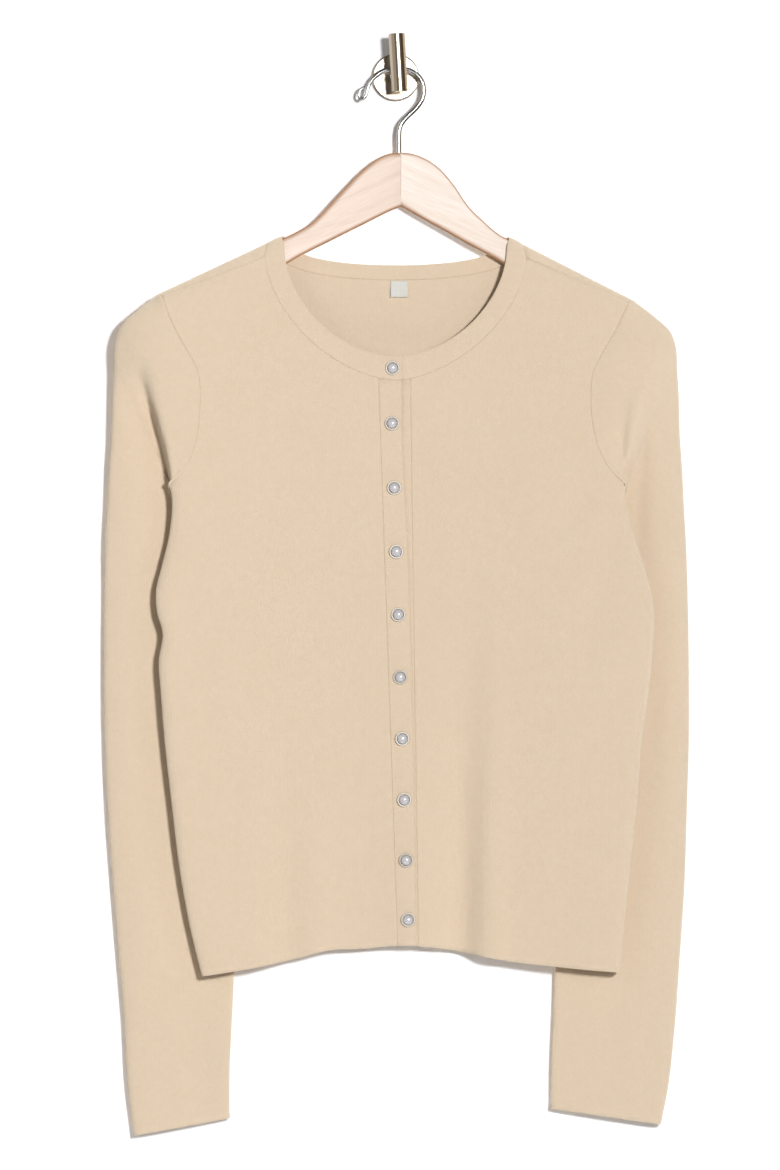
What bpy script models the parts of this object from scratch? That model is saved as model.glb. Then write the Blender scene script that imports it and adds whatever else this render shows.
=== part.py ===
"""A button cardigan on a contoured wooden hanger that hangs from a wall hook.

Metres, +Z up. The wall is the plane y = 0 and the garment's front faces -Y. Sides are the
wearer's, so the right side lies on -X. The origin is the middle of the wall rose's back face.
"""

import math
from collections import namedtuple

import bmesh
import bpy
import numpy as np

OBJECT_NAME = "button_cardigan"
RIGHT = -1.0
LEFT = 1.0
SIDE_NAME = {RIGHT: "right", LEFT: "left"}
FRONT = -1.0
BACK = 1.0

# Cloth
WALL = 0.0014  # thickness of the knit
SEAM_GAP = 0.0003  # between two pieces along a seam
ROUND_GAP = 0.0005  # the same where the seam runs round a fold
SHOULDER_GAP = 0.0008  # the same across the shoulder seams, which bend most
SEAM_LIFT = 0.0024  # how far a sleeve leaves the armhole before it turns
PLY = 0.0021  # from the middle of one lapped layer to the middle of the other
LAP_FADE = 0.030  # width over which a front eases into its lapped band

# Depth of the two layers, which the hanger's arms carry forward at the shoulders
CENTRE_DEPTH = -0.0150
ARM_SWEEP = 0.0200
ARM_REACH = 0.190
SWEEP_POWER = 1.6
HEM_SETTLE = 0.0040  # the centre hangs this much nearer the wall at the hem
SETTLE_FADE = (0.040, 0.140)  # out from the centre line, over which that ends
NECK_GAP = 0.0085  # half the room between the layers over the hanger
HEM_GAP = 0.0065  # the same at the centre of the hem
SIDE_RADIUS = 0.0095  # the rounded fold down each side
SIDE_FADE = (0.060, 0.150)  # out from the centre line, where the room grows to that fold's
CHEST_Z = -0.250
HEM_Z = -0.690

# Top line of the shoulders, at a distance from the centre and with its fall per metre
RIDGE_OUT = 0.090
RIDGE_Z = {RIGHT: -0.1255, LEFT: -0.1265}
RIDGE_FALL = {RIGHT: 0.477, LEFT: 0.516}

# Side edges of the body, from the armhole down
SideRow = namedtuple("SideRow", "z right left")
SIDE_EDGE = [
    SideRow(-0.250, 0.2200, 0.2200),
    SideRow(-0.280, 0.2000, 0.2020),
    SideRow(-0.302, 0.1830, 0.1850),
    SideRow(-0.3205, 0.1750, 0.1785),
    SideRow(-0.355, 0.1752, 0.1845),
    SideRow(-0.380, 0.1808, 0.1922),
    SideRow(-0.402, 0.1858, 0.1985),
    SideRow(-0.418, 0.1848, 0.2005),
    SideRow(-0.433, 0.1806, 0.2003),
    SideRow(-0.455, 0.1835, 0.1988),
    SideRow(-0.480, 0.1820, 0.1962),
    SideRow(-0.515, 0.1793, 0.1912),
    SideRow(-0.565, 0.1738, 0.1872),
    SideRow(-0.620, 0.1671, 0.1813),
    SideRow(-0.660, 0.1600, 0.1775),
    SideRow(-0.705, 0.1490, 0.1725),
]
UNDERARM_Z = -0.3205
UNDERARM_EASE = (0.260, 0.330)  # down from the origin, where the left armhole widens

# Hem line across the body
HemRow = namedtuple("HemRow", "x z")
HEM_LINE = [
    HemRow(-0.1500, -0.7008),
    HemRow(-0.1275, -0.6973),
    HemRow(-0.0979, -0.6922),
    HemRow(-0.0745, -0.6868),
    HemRow(-0.0560, -0.6818),
    HemRow(-0.0277, -0.6802),
    HemRow(0.0090, -0.6775),
    HemRow(0.0332, -0.6798),
    HemRow(0.0592, -0.6840),
    HemRow(0.0893, -0.6895),
    HemRow(0.1244, -0.6934),
    HemRow(0.1712, -0.6975),
]

# Armholes from the underarm up to the shoulder, measured out from the centre line
ArmholeRow = namedtuple("ArmholeRow", "out z")
FRONT_ARMHOLE = [
    ArmholeRow(0.1735, -0.3165),
    ArmholeRow(0.1665, -0.3090),
    ArmholeRow(0.1595, -0.2975),
    ArmholeRow(0.1550, -0.2830),
    ArmholeRow(0.1525, -0.2640),
    ArmholeRow(0.1520, -0.2470),
    ArmholeRow(0.1535, -0.2310),
    ArmholeRow(0.1590, -0.2190),
    ArmholeRow(0.1660, -0.2070),
    ArmholeRow(0.1740, -0.1920),
]
BACK_ARMHOLE = [
    ArmholeRow(0.1745, -0.3145),
    ArmholeRow(0.1695, -0.2970),
    ArmholeRow(0.1672, -0.2650),
    ArmholeRow(0.1680, -0.2350),
    ArmholeRow(0.1740, -0.2080),
    ArmholeRow(0.1820, -0.1880),
]

# Shoulder seams, forward of the top line, at the neck and at the sleeve. Degrees run round
# the fold over the shoulder, from -90 at its front to 90 at its back.
SEAM_ANGLE = (-90.0, -46.0)

# Neck opening. The band runs from the seam line to its free edge.
SEAM_NECK_Z = -0.2365
EDGE_NECK_Z = -0.2176
SEAM_NECK_POWER = 1.7
EDGE_NECK_POWER = 1.85
BACK_NECK_POWER = 2.2
BACK_SEAM_NECK_Z = -0.1576
BACK_EDGE_NECK_Z = -0.1462
SEAM_STRIP_OUT = (0.1020, 0.0985, 0.0925)  # front, top and back of the shoulder fold
EDGE_STRIP_OUT = (0.0868, 0.0880, 0.0800)
SLEEVE_STRIP_OUT = (0.1775, 0.1846, 0.1850)

# Button bands: lines down the front at two heights
BAND_TOP_Z = -0.2350
BAND_LOW_Z = -0.6780
TOP_BAND_SEAM_X = (-0.0133, 0.0018)
UNDER_BAND_SEAM_X = (0.0113, 0.0176)
TOP_BAND_EDGE = [HemRow(0.0046, -0.235), HemRow(0.0048, -0.290), HemRow(0.0082, -0.350),
                 HemRow(0.0108, -0.420), HemRow(0.0130, -0.500), HemRow(0.0158, -0.680)]
UNDER_BAND_HIDDEN = 0.0030  # the hidden edge stops this far inside the top band's seam
NECKBAND_LAP_X = {RIGHT: 0.0048, LEFT: -0.0105}  # where each end of the neckband stops

# Buttons
BUTTON_RADIUS = 0.0057
BUTTON_COUNT = 9  # down the front, under the one on the neckband
NECK_BUTTON = (-0.0023, -0.2270)
FIRST_BUTTON = (-0.0027, -0.2702)
BUTTON_PITCH = 0.05055
BUTTON_CLOSING = 0.00027  # how much each pitch shortens
BUTTON_DRIFT = 0.0323  # sideways for each metre down
BUTTON_SIDES = 14
ProfileRow = namedtuple("ProfileRow", "radius height")  # radius as a share of the whole
BUTTON_PROFILE = [
    ProfileRow(0.0, 0.0040),
    ProfileRow(0.36, 0.0037),
    ProfileRow(0.62, 0.0027),
    ProfileRow(0.74, 0.0016),
    ProfileRow(0.92, 0.0018),
    ProfileRow(1.0, 0.0011),
    ProfileRow(0.93, 0.0),
    ProfileRow(0.0, 0.0),
]

# Soft folds in both layers of the body: place, half width, depth, and where each starts
BodyFold = namedtuple("BodyFold", "x width depth start_z")
BODY_FOLDS = [
    BodyFold(-0.1180, 0.016, 0.0020, -0.560),
    BodyFold(-0.0760, 0.013, 0.0042, -0.500),
    BodyFold(-0.0300, 0.014, -0.0012, -0.560),
    BodyFold(0.0560, 0.014, 0.0034, -0.480),
    BodyFold(0.0980, 0.018, 0.0016, -0.540),
    BodyFold(0.1420, 0.014, 0.0022, -0.580),
]

# Sleeve rings round the cap, from the armhole down to the first level ring. An outer point
# lies on the sleeve's outline and an inner point on its underarm fold, given from the
# underarm. The rest are depths, and how far the middle of a ring bows towards the body.
CapRing = namedtuple(
    "CapRing", "blend out_x out_z out_y in_out in_down in_y bow front_y back_y"
)
CAP_RINGS = [
    CapRing(0.35, 0.1990, -0.1790, -0.0335, 0.0100, -0.0060, -0.0300, 0.016, -0.0440, -0.0230),
    CapRing(0.80, 0.2070, -0.1866, -0.0330, 0.0088, 0.0000, -0.0265, 0.010, -0.0436, -0.0200),
    CapRing(1.00, 0.2148, -0.1962, -0.0320, 0.0102, 0.0042, -0.0215, 0.003, -0.0375, -0.0160),
    CapRing(1.00, 0.2180, -0.2075, -0.0305, 0.0098, 0.0090, -0.0165, 0.000, -0.0315, -0.0120),
    CapRing(1.00, 0.2190, -0.2240, -0.0285, 0.0040, 0.0150, -0.0135, 0.000, -0.0275, -0.0085),
    CapRing(1.00, 0.2204, -0.2492, -0.0250, -0.0090, 0.0240, -0.0115, 0.000, -0.0245, -0.0055),
    CapRing(1.00, 0.2211, -0.2777, -0.0215, -0.0240, 0.0350, -0.0105, 0.000, -0.0218, -0.0040),
    CapRing(1.00, 0.2232, -0.3065, -0.0180, -0.0370, 0.0470, -0.0105, 0.000, -0.0200, -0.0030),
    CapRing(1.00, 0.2245, -0.3320, -0.0150, -0.0480, 0.0620, -0.0105, 0.000, -0.0190, -0.0026),
    CapRing(1.00, 0.2264, -0.3640, -0.0125, -0.0555, 0.0780, -0.0105, 0.000, -0.0187, -0.0025),
]
SHOULDER_DROP = {RIGHT: 0.0, LEFT: 0.0045}
DROP_FADE = (-0.300, -0.180)  # heights over which a lower shoulder lowers the sleeve's rings
SLEEVE_MIDDLE = -0.0098
SLEEVE_FRONT = -0.0172
SLEEVE_BACK = -0.0025
SLEEVE_LEAN = 0.35  # how much deeper a ring is towards its outer side
RING_POWER = 0.62
ArmRing = namedtuple("ArmRing", "out_x out_z in_x in_z")
ARM_RINGS = {
    RIGHT: [
        ArmRing(0.2270, -0.4020, 0.1150, -0.4120),
        ArmRing(0.2274, -0.4570, 0.1155, -0.4650),
        ArmRing(0.2266, -0.5210, 0.1172, -0.5270),
        ArmRing(0.2243, -0.5750, 0.1198, -0.5800),
        ArmRing(0.2200, -0.6334, 0.1230, -0.6360),
        ArmRing(0.2157, -0.6856, 0.1257, -0.6870),
        ArmRing(0.2113, -0.7379, 0.1279, -0.7350),
        ArmRing(0.2088, -0.7850, 0.1299, -0.7780),
        ArmRing(0.2038, -0.8262, 0.1299, -0.8128),
    ],
    LEFT: [
        ArmRing(0.2278, -0.4020, 0.1160, -0.4120),
        ArmRing(0.2287, -0.4570, 0.1170, -0.4650),
        ArmRing(0.2288, -0.5150, 0.1186, -0.5200),
        ArmRing(0.2272, -0.5700, 0.1210, -0.5730),
        ArmRing(0.2252, -0.6300, 0.1238, -0.6300),
        ArmRing(0.2214, -0.6880, 0.1244, -0.6860),
        ArmRing(0.2177, -0.7400, 0.1233, -0.7330),
        ArmRing(0.2125, -0.7880, 0.1217, -0.7730),
        ArmRing(0.2067, -0.8174, 0.1217, -0.8053),
    ],
}

# Label inside the back neck
LABEL_X = (-0.0040, 0.0096)
LABEL_Z = (-0.1712, -0.1590)
LABEL_WALL = 0.0005

# Hanger: half the thickness of the wood, and its outline near the neck
WOOD_HALF = 0.0055
WOOD_ROUND = 0.0045
HANGER_END_OUT = 0.1820
ARM_HEIGHT = 0.0215
ARM_OUTS = (0.088, 0.105, 0.125, 0.145, 0.160, 0.172)  # sections under the shoulders
TipRow = namedtuple("TipRow", "back_from_end shrink")
ARM_TIP = [TipRow(0.0045, 0.0020), TipRow(0.0012, 0.0050), TipRow(0.0, 0.0078)]
TIP_LENGTH = 0.008  # over which the wood also thins
TIP_THINNING = 0.30
CLOTH_REST = 0.0014  # from the middle of the cloth on the shoulders down to the wood
HangerRow = namedtuple("HangerRow", "x top bottom")
HANGER_NECK = {
    RIGHT: [
        HangerRow(0.0041, -0.0587, -0.1005),
        HangerRow(-0.0040, -0.0592, -0.1038),
        HangerRow(-0.0121, -0.0621, -0.1078),
        HangerRow(-0.0238, -0.0705, -0.1138),
        HangerRow(-0.0374, -0.0841, -0.1206),
        HangerRow(-0.0511, -0.0991, -0.1275),
        HangerRow(-0.0644, -0.1128, -0.1342),
        HangerRow(-0.0770, -0.1207, -0.1407),
    ],
    LEFT: [
        HangerRow(0.0044, -0.0587, -0.1005),
        HangerRow(0.0125, -0.0596, -0.1052),
        HangerRow(0.0203, -0.0622, -0.1098),
        HangerRow(0.0336, -0.0705, -0.1172),
        HangerRow(0.0455, -0.0841, -0.1238),
        HangerRow(0.0556, -0.0991, -0.1296),
        HangerRow(0.0690, -0.1128, -0.1368),
        HangerRow(0.0790, -0.1216, -0.1423),
    ],
}

# Wall hook and the hanger's own hook
ROSE_RADIUS = 0.0180
ROSE_SIDES = 36
ROSE_PROFILE = [
    ProfileRow(0.0, 0.0050),
    ProfileRow(0.86, 0.0050),
    ProfileRow(0.96, 0.0042),
    ProfileRow(1.0, 0.0028),
    ProfileRow(1.0, 0.0),
    ProfileRow(0.0, 0.0),
]
POST_RADIUS = 0.0042
POST_SIDES = 20
POST_START_Y = -0.0053
PEG_RADIUS = 0.0063
PEG_SIDES = 28
PEG_EDGE = 0.0006  # the bevel round its ends
PEG_Y = -0.0290
PEG_TOP = (0.0008, 0.0343)  # x and z of the upright's ends
PEG_FOOT = (0.0034, -0.0109)
WIRE_RADIUS = 0.00195
WIRE_Y = -0.0150
HOOK_CENTRE = (0.0012, -0.0128)
HOOK_RADIUS = 0.0193
HOOK_START = -72.0  # degrees, anticlockwise from +X, where the shank runs into the bend
HOOK_END = 176.0
HOOK_STEPS = 20
HOOK_TAIL = (-0.0022, -0.0016)  # from the end of the bend to the end of the wire
SHANK_X = 0.0029
SHANK_RISES = (0.0, 0.009, 0.017)
HOOK_BEAD = 1.35  # how much thicker the wire is at its beaded end


def smoothstep(low, high, value):
    share = np.clip((np.asarray(value, float) - low) / (high - low), 0.0, 1.0)
    return share * share * (3.0 - 2.0 * share)


def smooth_through(keys, values, at):
    """A smooth curve through rows of a table, read at one place or at many."""
    order = np.argsort(keys)
    keys = np.asarray(keys, float)[order]
    values = np.asarray(values, float)[order]
    slopes = np.gradient(values, keys)
    at = np.clip(np.asarray(at, float), keys[0], keys[-1])
    row = np.clip(np.searchsorted(keys, at) - 1, 0, len(keys) - 2)
    span = keys[row + 1] - keys[row]
    t = (at - keys[row]) / span
    start = values[row] * (1 + 2 * t) * (1 - t) ** 2 + slopes[row] * span * t * (1 - t) ** 2
    end = values[row + 1] * t * t * (3 - 2 * t) + slopes[row + 1] * span * t * t * (t - 1)
    return start + end


def along(points, shares):
    """Points at the given shares of a polyline's length, on a smooth curve through it."""
    points = np.asarray(points, float)
    steps = np.linalg.norm(np.diff(points, axis=0), axis=1)
    length = np.concatenate([[0.0], np.cumsum(steps)]) / steps.sum()
    return np.stack([smooth_through(length, column, shares) for column in points.T], axis=-1)


# ---------------------------------------------------------------- the body's form


def side_of(x):
    return RIGHT if x < 0 else LEFT


def side_edge(z, side):
    return smooth_through(
        [row.z for row in SIDE_EDGE], [getattr(row, SIDE_NAME[side]) for row in SIDE_EDGE], z
    )


def hem_z(x):
    return smooth_through([row.x for row in HEM_LINE], [row.z for row in HEM_LINE], x)


def ridge_z(x):
    side = side_of(x)
    return RIDGE_Z[side] - RIDGE_FALL[side] * (abs(x) - RIDGE_OUT)


def middle_depth(x, z):
    """Half way between the front layer and the back layer."""
    sweep = ARM_SWEEP * (abs(x) / ARM_REACH) ** SWEEP_POWER
    settle = HEM_SETTLE * smoothstep(-CHEST_Z, -HEM_Z, -z) * (1 - smoothstep(*SETTLE_FADE, abs(x)))
    return CENTRE_DEPTH - sweep + settle


def half_gap(x, z):
    centre = NECK_GAP + (HEM_GAP - NECK_GAP) * smoothstep(-CHEST_Z, -HEM_Z, -z)
    return centre + (SIDE_RADIUS - centre) * smoothstep(*SIDE_FADE, abs(x))


def fold_depth(x, z):
    total = 0.0
    for fold in BODY_FOLDS:
        fade = smoothstep(-fold.start_z, -HEM_Z, -z)
        total += fold.depth * fade * math.exp(-(((x - fold.x) / fold.width) ** 2))
    return total


def layer_depth(x, z, layer):
    """Depth of the front or the back layer, rounded over the shoulders."""
    gap = half_gap(x, z)
    below = min(max((ridge_z(x) - z) / gap, 0.0), 1.0)
    arch = math.sqrt(1.0 - (1.0 - below) ** 2)
    return middle_depth(x, z) + layer * gap * arch - fold_depth(x, z)


def over_shoulder(x, angle):
    """A point of the fold over the shoulder, from -90 degrees in front to 90 behind."""
    turn = math.radians(angle)
    z = ridge_z(x) - half_gap(x, ridge_z(x)) * (1.0 - math.cos(turn))
    return np.array([x, middle_depth(x, z) + half_gap(x, z) * math.sin(turn), z])


def wrapped(across, z, layer):
    """A point of the flat pattern laid on the body and round the fold down its side."""
    side = side_of(across)
    fold_x = float(side_edge(z, side)) - SIDE_RADIUS
    past = (abs(across) - fold_x) / SIDE_RADIUS
    if past <= 0.0:
        return np.array([across, layer_depth(across, z, layer), z])
    depth = layer_depth(side * fold_x, z, layer) - layer * SIDE_RADIUS * (1.0 - math.cos(past))
    return np.array([side * (fold_x + SIDE_RADIUS * math.sin(past)), depth, z])


def lerp(pair, share):
    return pair[0] + (pair[1] - pair[0]) * share


def strip_out(outs, angle):
    """Distance from the centre line on the shoulder fold, from its front, top and back."""
    return float(smooth_through((-90.0, 0.0, 90.0), outs, angle))


def line_x(pair, z):
    return lerp(pair, (BAND_TOP_Z - z) / (BAND_TOP_Z - BAND_LOW_Z))


def neck_line(turn, side, outs, low_z, power):
    """A point (x, z) of a front neck line: 0 degrees at the shoulder, 90 at the centre."""
    turn = math.radians(turn)
    high_z = over_shoulder(side * outs[0], -90.0)[2]
    across = math.copysign(abs(math.cos(turn)) ** (2 / power), math.cos(turn))
    return side * outs[0] * across, high_z + (low_z - high_z) * math.sin(turn) ** (2 / power)


def back_neck_line(turn, side, outs, low_z):
    """A point (x, z) of a back neck line: 0 degrees at the shoulder, 90 at the centre."""
    turn = math.radians(turn)
    power = 2 / BACK_NECK_POWER
    high_z = over_shoulder(side * outs[2], 90.0)[2]
    x = side * outs[2] * math.cos(turn) ** power
    return x, high_z + (low_z - high_z) * math.sin(turn) ** power


def turn_at(x, side, outs, power):
    """The angle at which a front neck line crosses the given x."""
    share = side * x / outs[0]
    return math.degrees(math.acos(math.copysign(abs(share) ** (power / 2), share)))


# ---------------------------------------------------------------- rows and columns

SIDE_ROWS = 12
ARMHOLE_SHARES = (0.05, 0.12, 0.22, 0.35, 0.50, 0.65, 0.79, 0.90, 0.96, 1.0)
UNDERARM_SHARE = 0.80  # of the height of a front at which its rows reach the underarm
TOP_PULL_POWER = 5  # keeps the shape of the neck line out of the rows far below it
SIDE_PULL_POWER = 2  # keeps the shape of the armhole out of the columns far from it
HEM_NECK_SHARE = 0.66  # of the hem's half width under the columns that end at the neck
NECK_COLUMNS = 6
NECK_SHARE = 0.52  # of a front's columns that end at the neck
SHOULDER_SHARES = (0.26, 0.50, 0.70, 0.83, 0.89, 0.945, 1.0)
STRIP_ROWS = 6
BACK_NECK_COLUMNS = 5
BAND_STEPS = (0.0, 0.35, 0.7, 1.0)  # across a button band


def row_shares():
    below = [UNDERARM_SHARE * row / SIDE_ROWS for row in range(SIDE_ROWS + 1)]
    above = [UNDERARM_SHARE + (1 - UNDERARM_SHARE) * share for share in ARMHOLE_SHARES]
    return np.array(below + above)


def column_shares(neck_columns):
    neck = [NECK_SHARE * column / neck_columns for column in range(neck_columns + 1)]
    shoulder = [NECK_SHARE + (1 - NECK_SHARE) * share for share in SHOULDER_SHARES]
    return np.array(neck + shoulder)


def hem_shares(columns):
    """Where each column meets the hem, as a share of its half width."""
    return np.interp(columns, (0.0, NECK_SHARE, 1.0), (0.0, HEM_NECK_SHARE, 1.0))


def side_seam_across(z, side):
    quarter_turn = SIDE_RADIUS * math.pi / 2
    return float(side_edge(z, side)) - SIDE_RADIUS + quarter_turn - ROUND_GAP / 2


def side_boundary(side, layer):
    """Pattern points up the side seam and the armhole, one for each row."""
    hem_corner = float(hem_z(side * side_edge(HEM_Z, side)))
    seam = []
    for row in range(SIDE_ROWS + 1):
        z = lerp((hem_corner, UNDERARM_Z), row / SIDE_ROWS)
        seam.append((side * side_seam_across(z, side), z))
    rows = FRONT_ARMHOLE if layer == FRONT else BACK_ARMHOLE
    extra = float(side_edge(UNDERARM_Z, side)) - float(side_edge(UNDERARM_Z, RIGHT))
    armhole = [seam[-1]]
    for row in rows:
        ease = extra * smoothstep(*UNDERARM_EASE, -row.z)
        armhole.append((side * (row.out + ease), row.z))
    armhole.append(shoulder_point(side, layer, 1.0)[[0, 2]])
    return np.array(seam + list(along(armhole, ARMHOLE_SHARES)))


def shoulder_point(side, layer, share):
    """A point where the front or the back ends at the shoulder, 0 at the neck, 1 outside."""
    angle = 90.0 if layer == BACK else lerp(SEAM_ANGLE, share)
    outs = (strip_out(SEAM_STRIP_OUT, angle), strip_out(SLEEVE_STRIP_OUT, angle))
    return over_shoulder(side * lerp(outs, share), angle)


def strip_point(side, share, row):
    """A point of the strip that carries the back over the shoulder to the seam."""
    end = lerp(SEAM_ANGLE, share) + math.degrees(SHOULDER_GAP / NECK_GAP)
    angle = lerp((90.0, end), row / STRIP_ROWS)
    outs = (strip_out(SEAM_STRIP_OUT, angle), strip_out(SLEEVE_STRIP_OUT, angle))
    return over_shoulder(side * lerp(outs, share), angle)


def patch(bottom, top, start, end, pull, rows):
    """A grid of pattern points between four boundaries, blended from all of them.

    pull is how strongly each column follows the end boundary rather than the start.
    """
    u = np.asarray(pull)[None, :, None]
    v = rows[:, None, None] ** TOP_PULL_POWER
    bottom, top = np.asarray(bottom)[None], np.asarray(top)[None]
    start, end = np.asarray(start)[:, None], np.asarray(end)[:, None]
    corners = (
        (1 - u) * (1 - v) * bottom[:, :1]
        + u * (1 - v) * bottom[:, -1:]
        + (1 - u) * v * top[:, :1]
        + u * v * top[:, -1:]
    )
    return (1 - v) * bottom + v * top + (1 - u) * start + u * end - corners


# ---------------------------------------------------------------- making meshes


def material(name, colour, roughness, metallic=0.0):
    made = bpy.data.materials.new(name)
    made.use_nodes = True
    shader = made.node_tree.nodes["Principled BSDF"]
    shader.inputs["Base Color"].default_value = (*colour, 1.0)
    shader.inputs["Roughness"].default_value = roughness
    shader.inputs["Metallic"].default_value = metallic
    return made


def grid_faces(rows, columns, closed=False):
    faces = []
    for row in range(rows - 1):
        for column in range(columns if closed else columns - 1):
            here = row * columns + column
            beside = row * columns + (column + 1) % columns
            faces.append((here, beside, beside + columns, here + columns))
    return faces


def sheet_object(name, points, faces, finish, wall=WALL):
    """An open surface with a Solidify modifier: a wall of cloth."""
    mesh = bpy.data.meshes.new(name)
    mesh.from_pydata([tuple(point) for point in points], [], faces)
    mesh.materials.append(finish)
    shell = bpy.data.objects.new(name, mesh)
    PARTS.objects.link(shell)
    thicken = shell.modifiers.new("wall", "SOLIDIFY")
    thicken.thickness = wall
    thicken.offset = 0.0
    mesh.shade_smooth()
    return shell


def grid_object(name, grid, finish, closed=False, wall=WALL):
    rows, columns = grid.shape[:2]
    points = grid.reshape(-1, 3)
    return sheet_object(name, points, grid_faces(rows, columns, closed), finish, wall)


# ---------------------------------------------------------------- the cardigan's pieces


def lap_depth(x, z, side):
    """How far a front eases forward or back towards its lapped band."""
    line = line_x(TOP_BAND_SEAM_X if side == RIGHT else UNDER_BAND_SEAM_X, z)
    return side * PLY / 2 * (1 - float(smoothstep(0.0, LAP_FADE, side * (x - line))))


def front_grid(side):
    columns, rows = column_shares(NECK_COLUMNS), row_shares()
    end = side_boundary(side, FRONT)
    pair = TOP_BAND_SEAM_X if side == RIGHT else UNDER_BAND_SEAM_X
    corner_turn = turn_at(line_x(pair, BAND_TOP_Z), side, SEAM_STRIP_OUT, SEAM_NECK_POWER)
    top = []
    for share in columns:
        if share <= NECK_SHARE:
            turn = corner_turn * (1 - share / NECK_SHARE)
            point = neck_line(turn, side, SEAM_STRIP_OUT, SEAM_NECK_Z, SEAM_NECK_POWER)
        else:
            over = (share - NECK_SHARE) / (1 - NECK_SHARE)
            point = shoulder_point(side, FRONT, over)[[0, 2]]
        top.append(point)
    low_x = line_x(pair, BAND_LOW_Z)
    bottom = []
    for share in hem_shares(columns):
        across = lerp((low_x, end[0][0]), share)
        bottom.append((across, float(hem_z(across))))
    bottom[-1] = end[0]
    start = []
    for share in rows:
        z = lerp((bottom[0][1], top[0][1]), share)
        start.append((lerp((low_x, top[0][0]), share), z))
    pattern = patch(bottom, top, start, end, columns**SIDE_PULL_POWER, rows)
    grid = np.array([[wrapped(*point, FRONT) for point in row] for row in pattern])
    for point in grid.reshape(-1, 3):
        point[1] += lap_depth(point[0], point[2], side)
    return grid


def back_grid():
    half = column_shares(BACK_NECK_COLUMNS)
    columns = np.concatenate([-half[:0:-1], half])
    rows = row_shares()
    start, end = side_boundary(RIGHT, BACK), side_boundary(LEFT, BACK)
    top, bottom = [], []
    for share in columns:
        side = side_of(share)
        if abs(share) <= NECK_SHARE:
            turn = 90.0 * (1 - abs(share) / NECK_SHARE)
            point = back_neck_line(turn, side, SEAM_STRIP_OUT, BACK_SEAM_NECK_Z)
        else:
            over = (abs(share) - NECK_SHARE) / (1 - NECK_SHARE)
            point = shoulder_point(side, BACK, over)[[0, 2]]
        top.append(point)
        corner = end[0] if side == LEFT else start[0]
        across = float(hem_shares(abs(share))) * corner[0]
        bottom.append((across, float(hem_z(across))))
    bottom[0], bottom[-1] = start[0], end[0]
    pull = (1 + np.sign(columns) * np.abs(columns) ** SIDE_PULL_POWER) / 2
    pattern = patch(bottom, top, start, end, pull, rows)
    return np.array([[wrapped(*point, BACK) for point in row] for row in pattern])


def strip_grid(side):
    """Rows of the back's strip over one shoulder, without the row it shares with the back."""
    shares = [0.0] + list(SHOULDER_SHARES)
    rows = range(1, STRIP_ROWS + 1)
    return np.array([[strip_point(side, share, row) for share in shares] for row in rows])


def make_fronts(knit):
    grids = {side: front_grid(side) for side in (RIGHT, LEFT)}
    for side, grid in grids.items():
        grid_object(f"front_{SIDE_NAME[side]}", grid, knit)
    return grids


def make_back(knit):
    grid = back_grid()
    rows, columns = grid.shape[:2]
    points = list(grid.reshape(-1, 3))
    faces = grid_faces(rows, columns)
    last_row = (rows - 1) * columns
    width = len(SHOULDER_SHARES) + 1
    for side in (RIGHT, LEFT):
        if side == RIGHT:
            shared = [last_row + width - 1 - column for column in range(width)]
        else:
            shared = [last_row + columns - width + column for column in range(width)]
        below = shared
        for line in strip_grid(side):
            above = list(range(len(points), len(points) + width))
            points.extend(line)
            for column in range(width - 1):
                quad = (below[column], below[column + 1], above[column + 1], above[column])
                faces.append(quad if side == LEFT else quad[::-1])
            below = above
    sheet_object("back", points, faces, knit)
    return grid


def armhole_loop(side, front, back):
    """Points round one armhole, from the top of the shoulder down the front and up the back."""
    strip = [strip_point(side, 1.0, row) for row in range(1, STRIP_ROWS + 1)]
    top = STRIP_ROWS // 2
    front_edge = front[SIDE_ROWS:, -1]
    back_edge = back[SIDE_ROWS:, 0 if side == RIGHT else -1]
    down = strip[top:-1] + list(front_edge[:0:-1])
    underarm = (front_edge[0] + back_edge[0]) / 2
    up = list(back_edge[1:]) + strip[:top]
    return np.array(down + [underarm] + up), len(down)


def ring_angles(loop, underarm):
    """An angle for each point of the loop: 0 at the shoulder, half a turn at the underarm."""
    chord = loop[underarm] - loop[0]
    shares = np.clip((loop - loop[0]) @ chord / (chord @ chord), 0.0, 1.0)
    angles = np.arccos(1 - 2 * shares)
    angles[underarm + 1:] = 2 * math.pi - angles[underarm + 1:]
    return angles


def armhole_outward(side, front, back):
    """The direction in which the cloth leaves the armhole, for each point of its loop."""
    strip = [strip_point(side, 1.0, row) for row in range(1, STRIP_ROWS + 1)]
    within = [strip_point(side, SHOULDER_SHARES[-2], row) for row in range(1, STRIP_ROWS + 1)]
    top = STRIP_ROWS // 2
    at_front, in_front = front[SIDE_ROWS:, -1], front[SIDE_ROWS:, -2]
    at_back = back[SIDE_ROWS:, 0 if side == RIGHT else -1]
    in_back = back[SIDE_ROWS:, 1 if side == RIGHT else -2]
    edge = strip[top:-1] + list(at_front[:0:-1]) + [at_front[0]] + list(at_back[1:]) + strip[:top]
    inner = within[top:-1] + list(in_front[:0:-1]) + [in_front[0]] + list(in_back[1:])
    inner += within[:top]
    edge, inner = np.array(edge), np.array(inner)
    tangent = np.roll(edge, -1, axis=0) - np.roll(edge, 1, axis=0)
    tangent /= np.linalg.norm(tangent, axis=1)[:, None]
    outward = edge - inner
    outward -= tangent * (outward * tangent).sum(axis=1)[:, None]
    outward /= np.linalg.norm(outward, axis=1)[:, None]
    outward[len(strip[top:-1]) + len(at_front) - 1] = (0.0, 0.0, 1.0)
    for _ in range(2):
        outward = (np.roll(outward, 1, axis=0) + 2 * outward + np.roll(outward, -1, axis=0)) / 4
    return outward / np.linalg.norm(outward, axis=1)[:, None]


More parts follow.
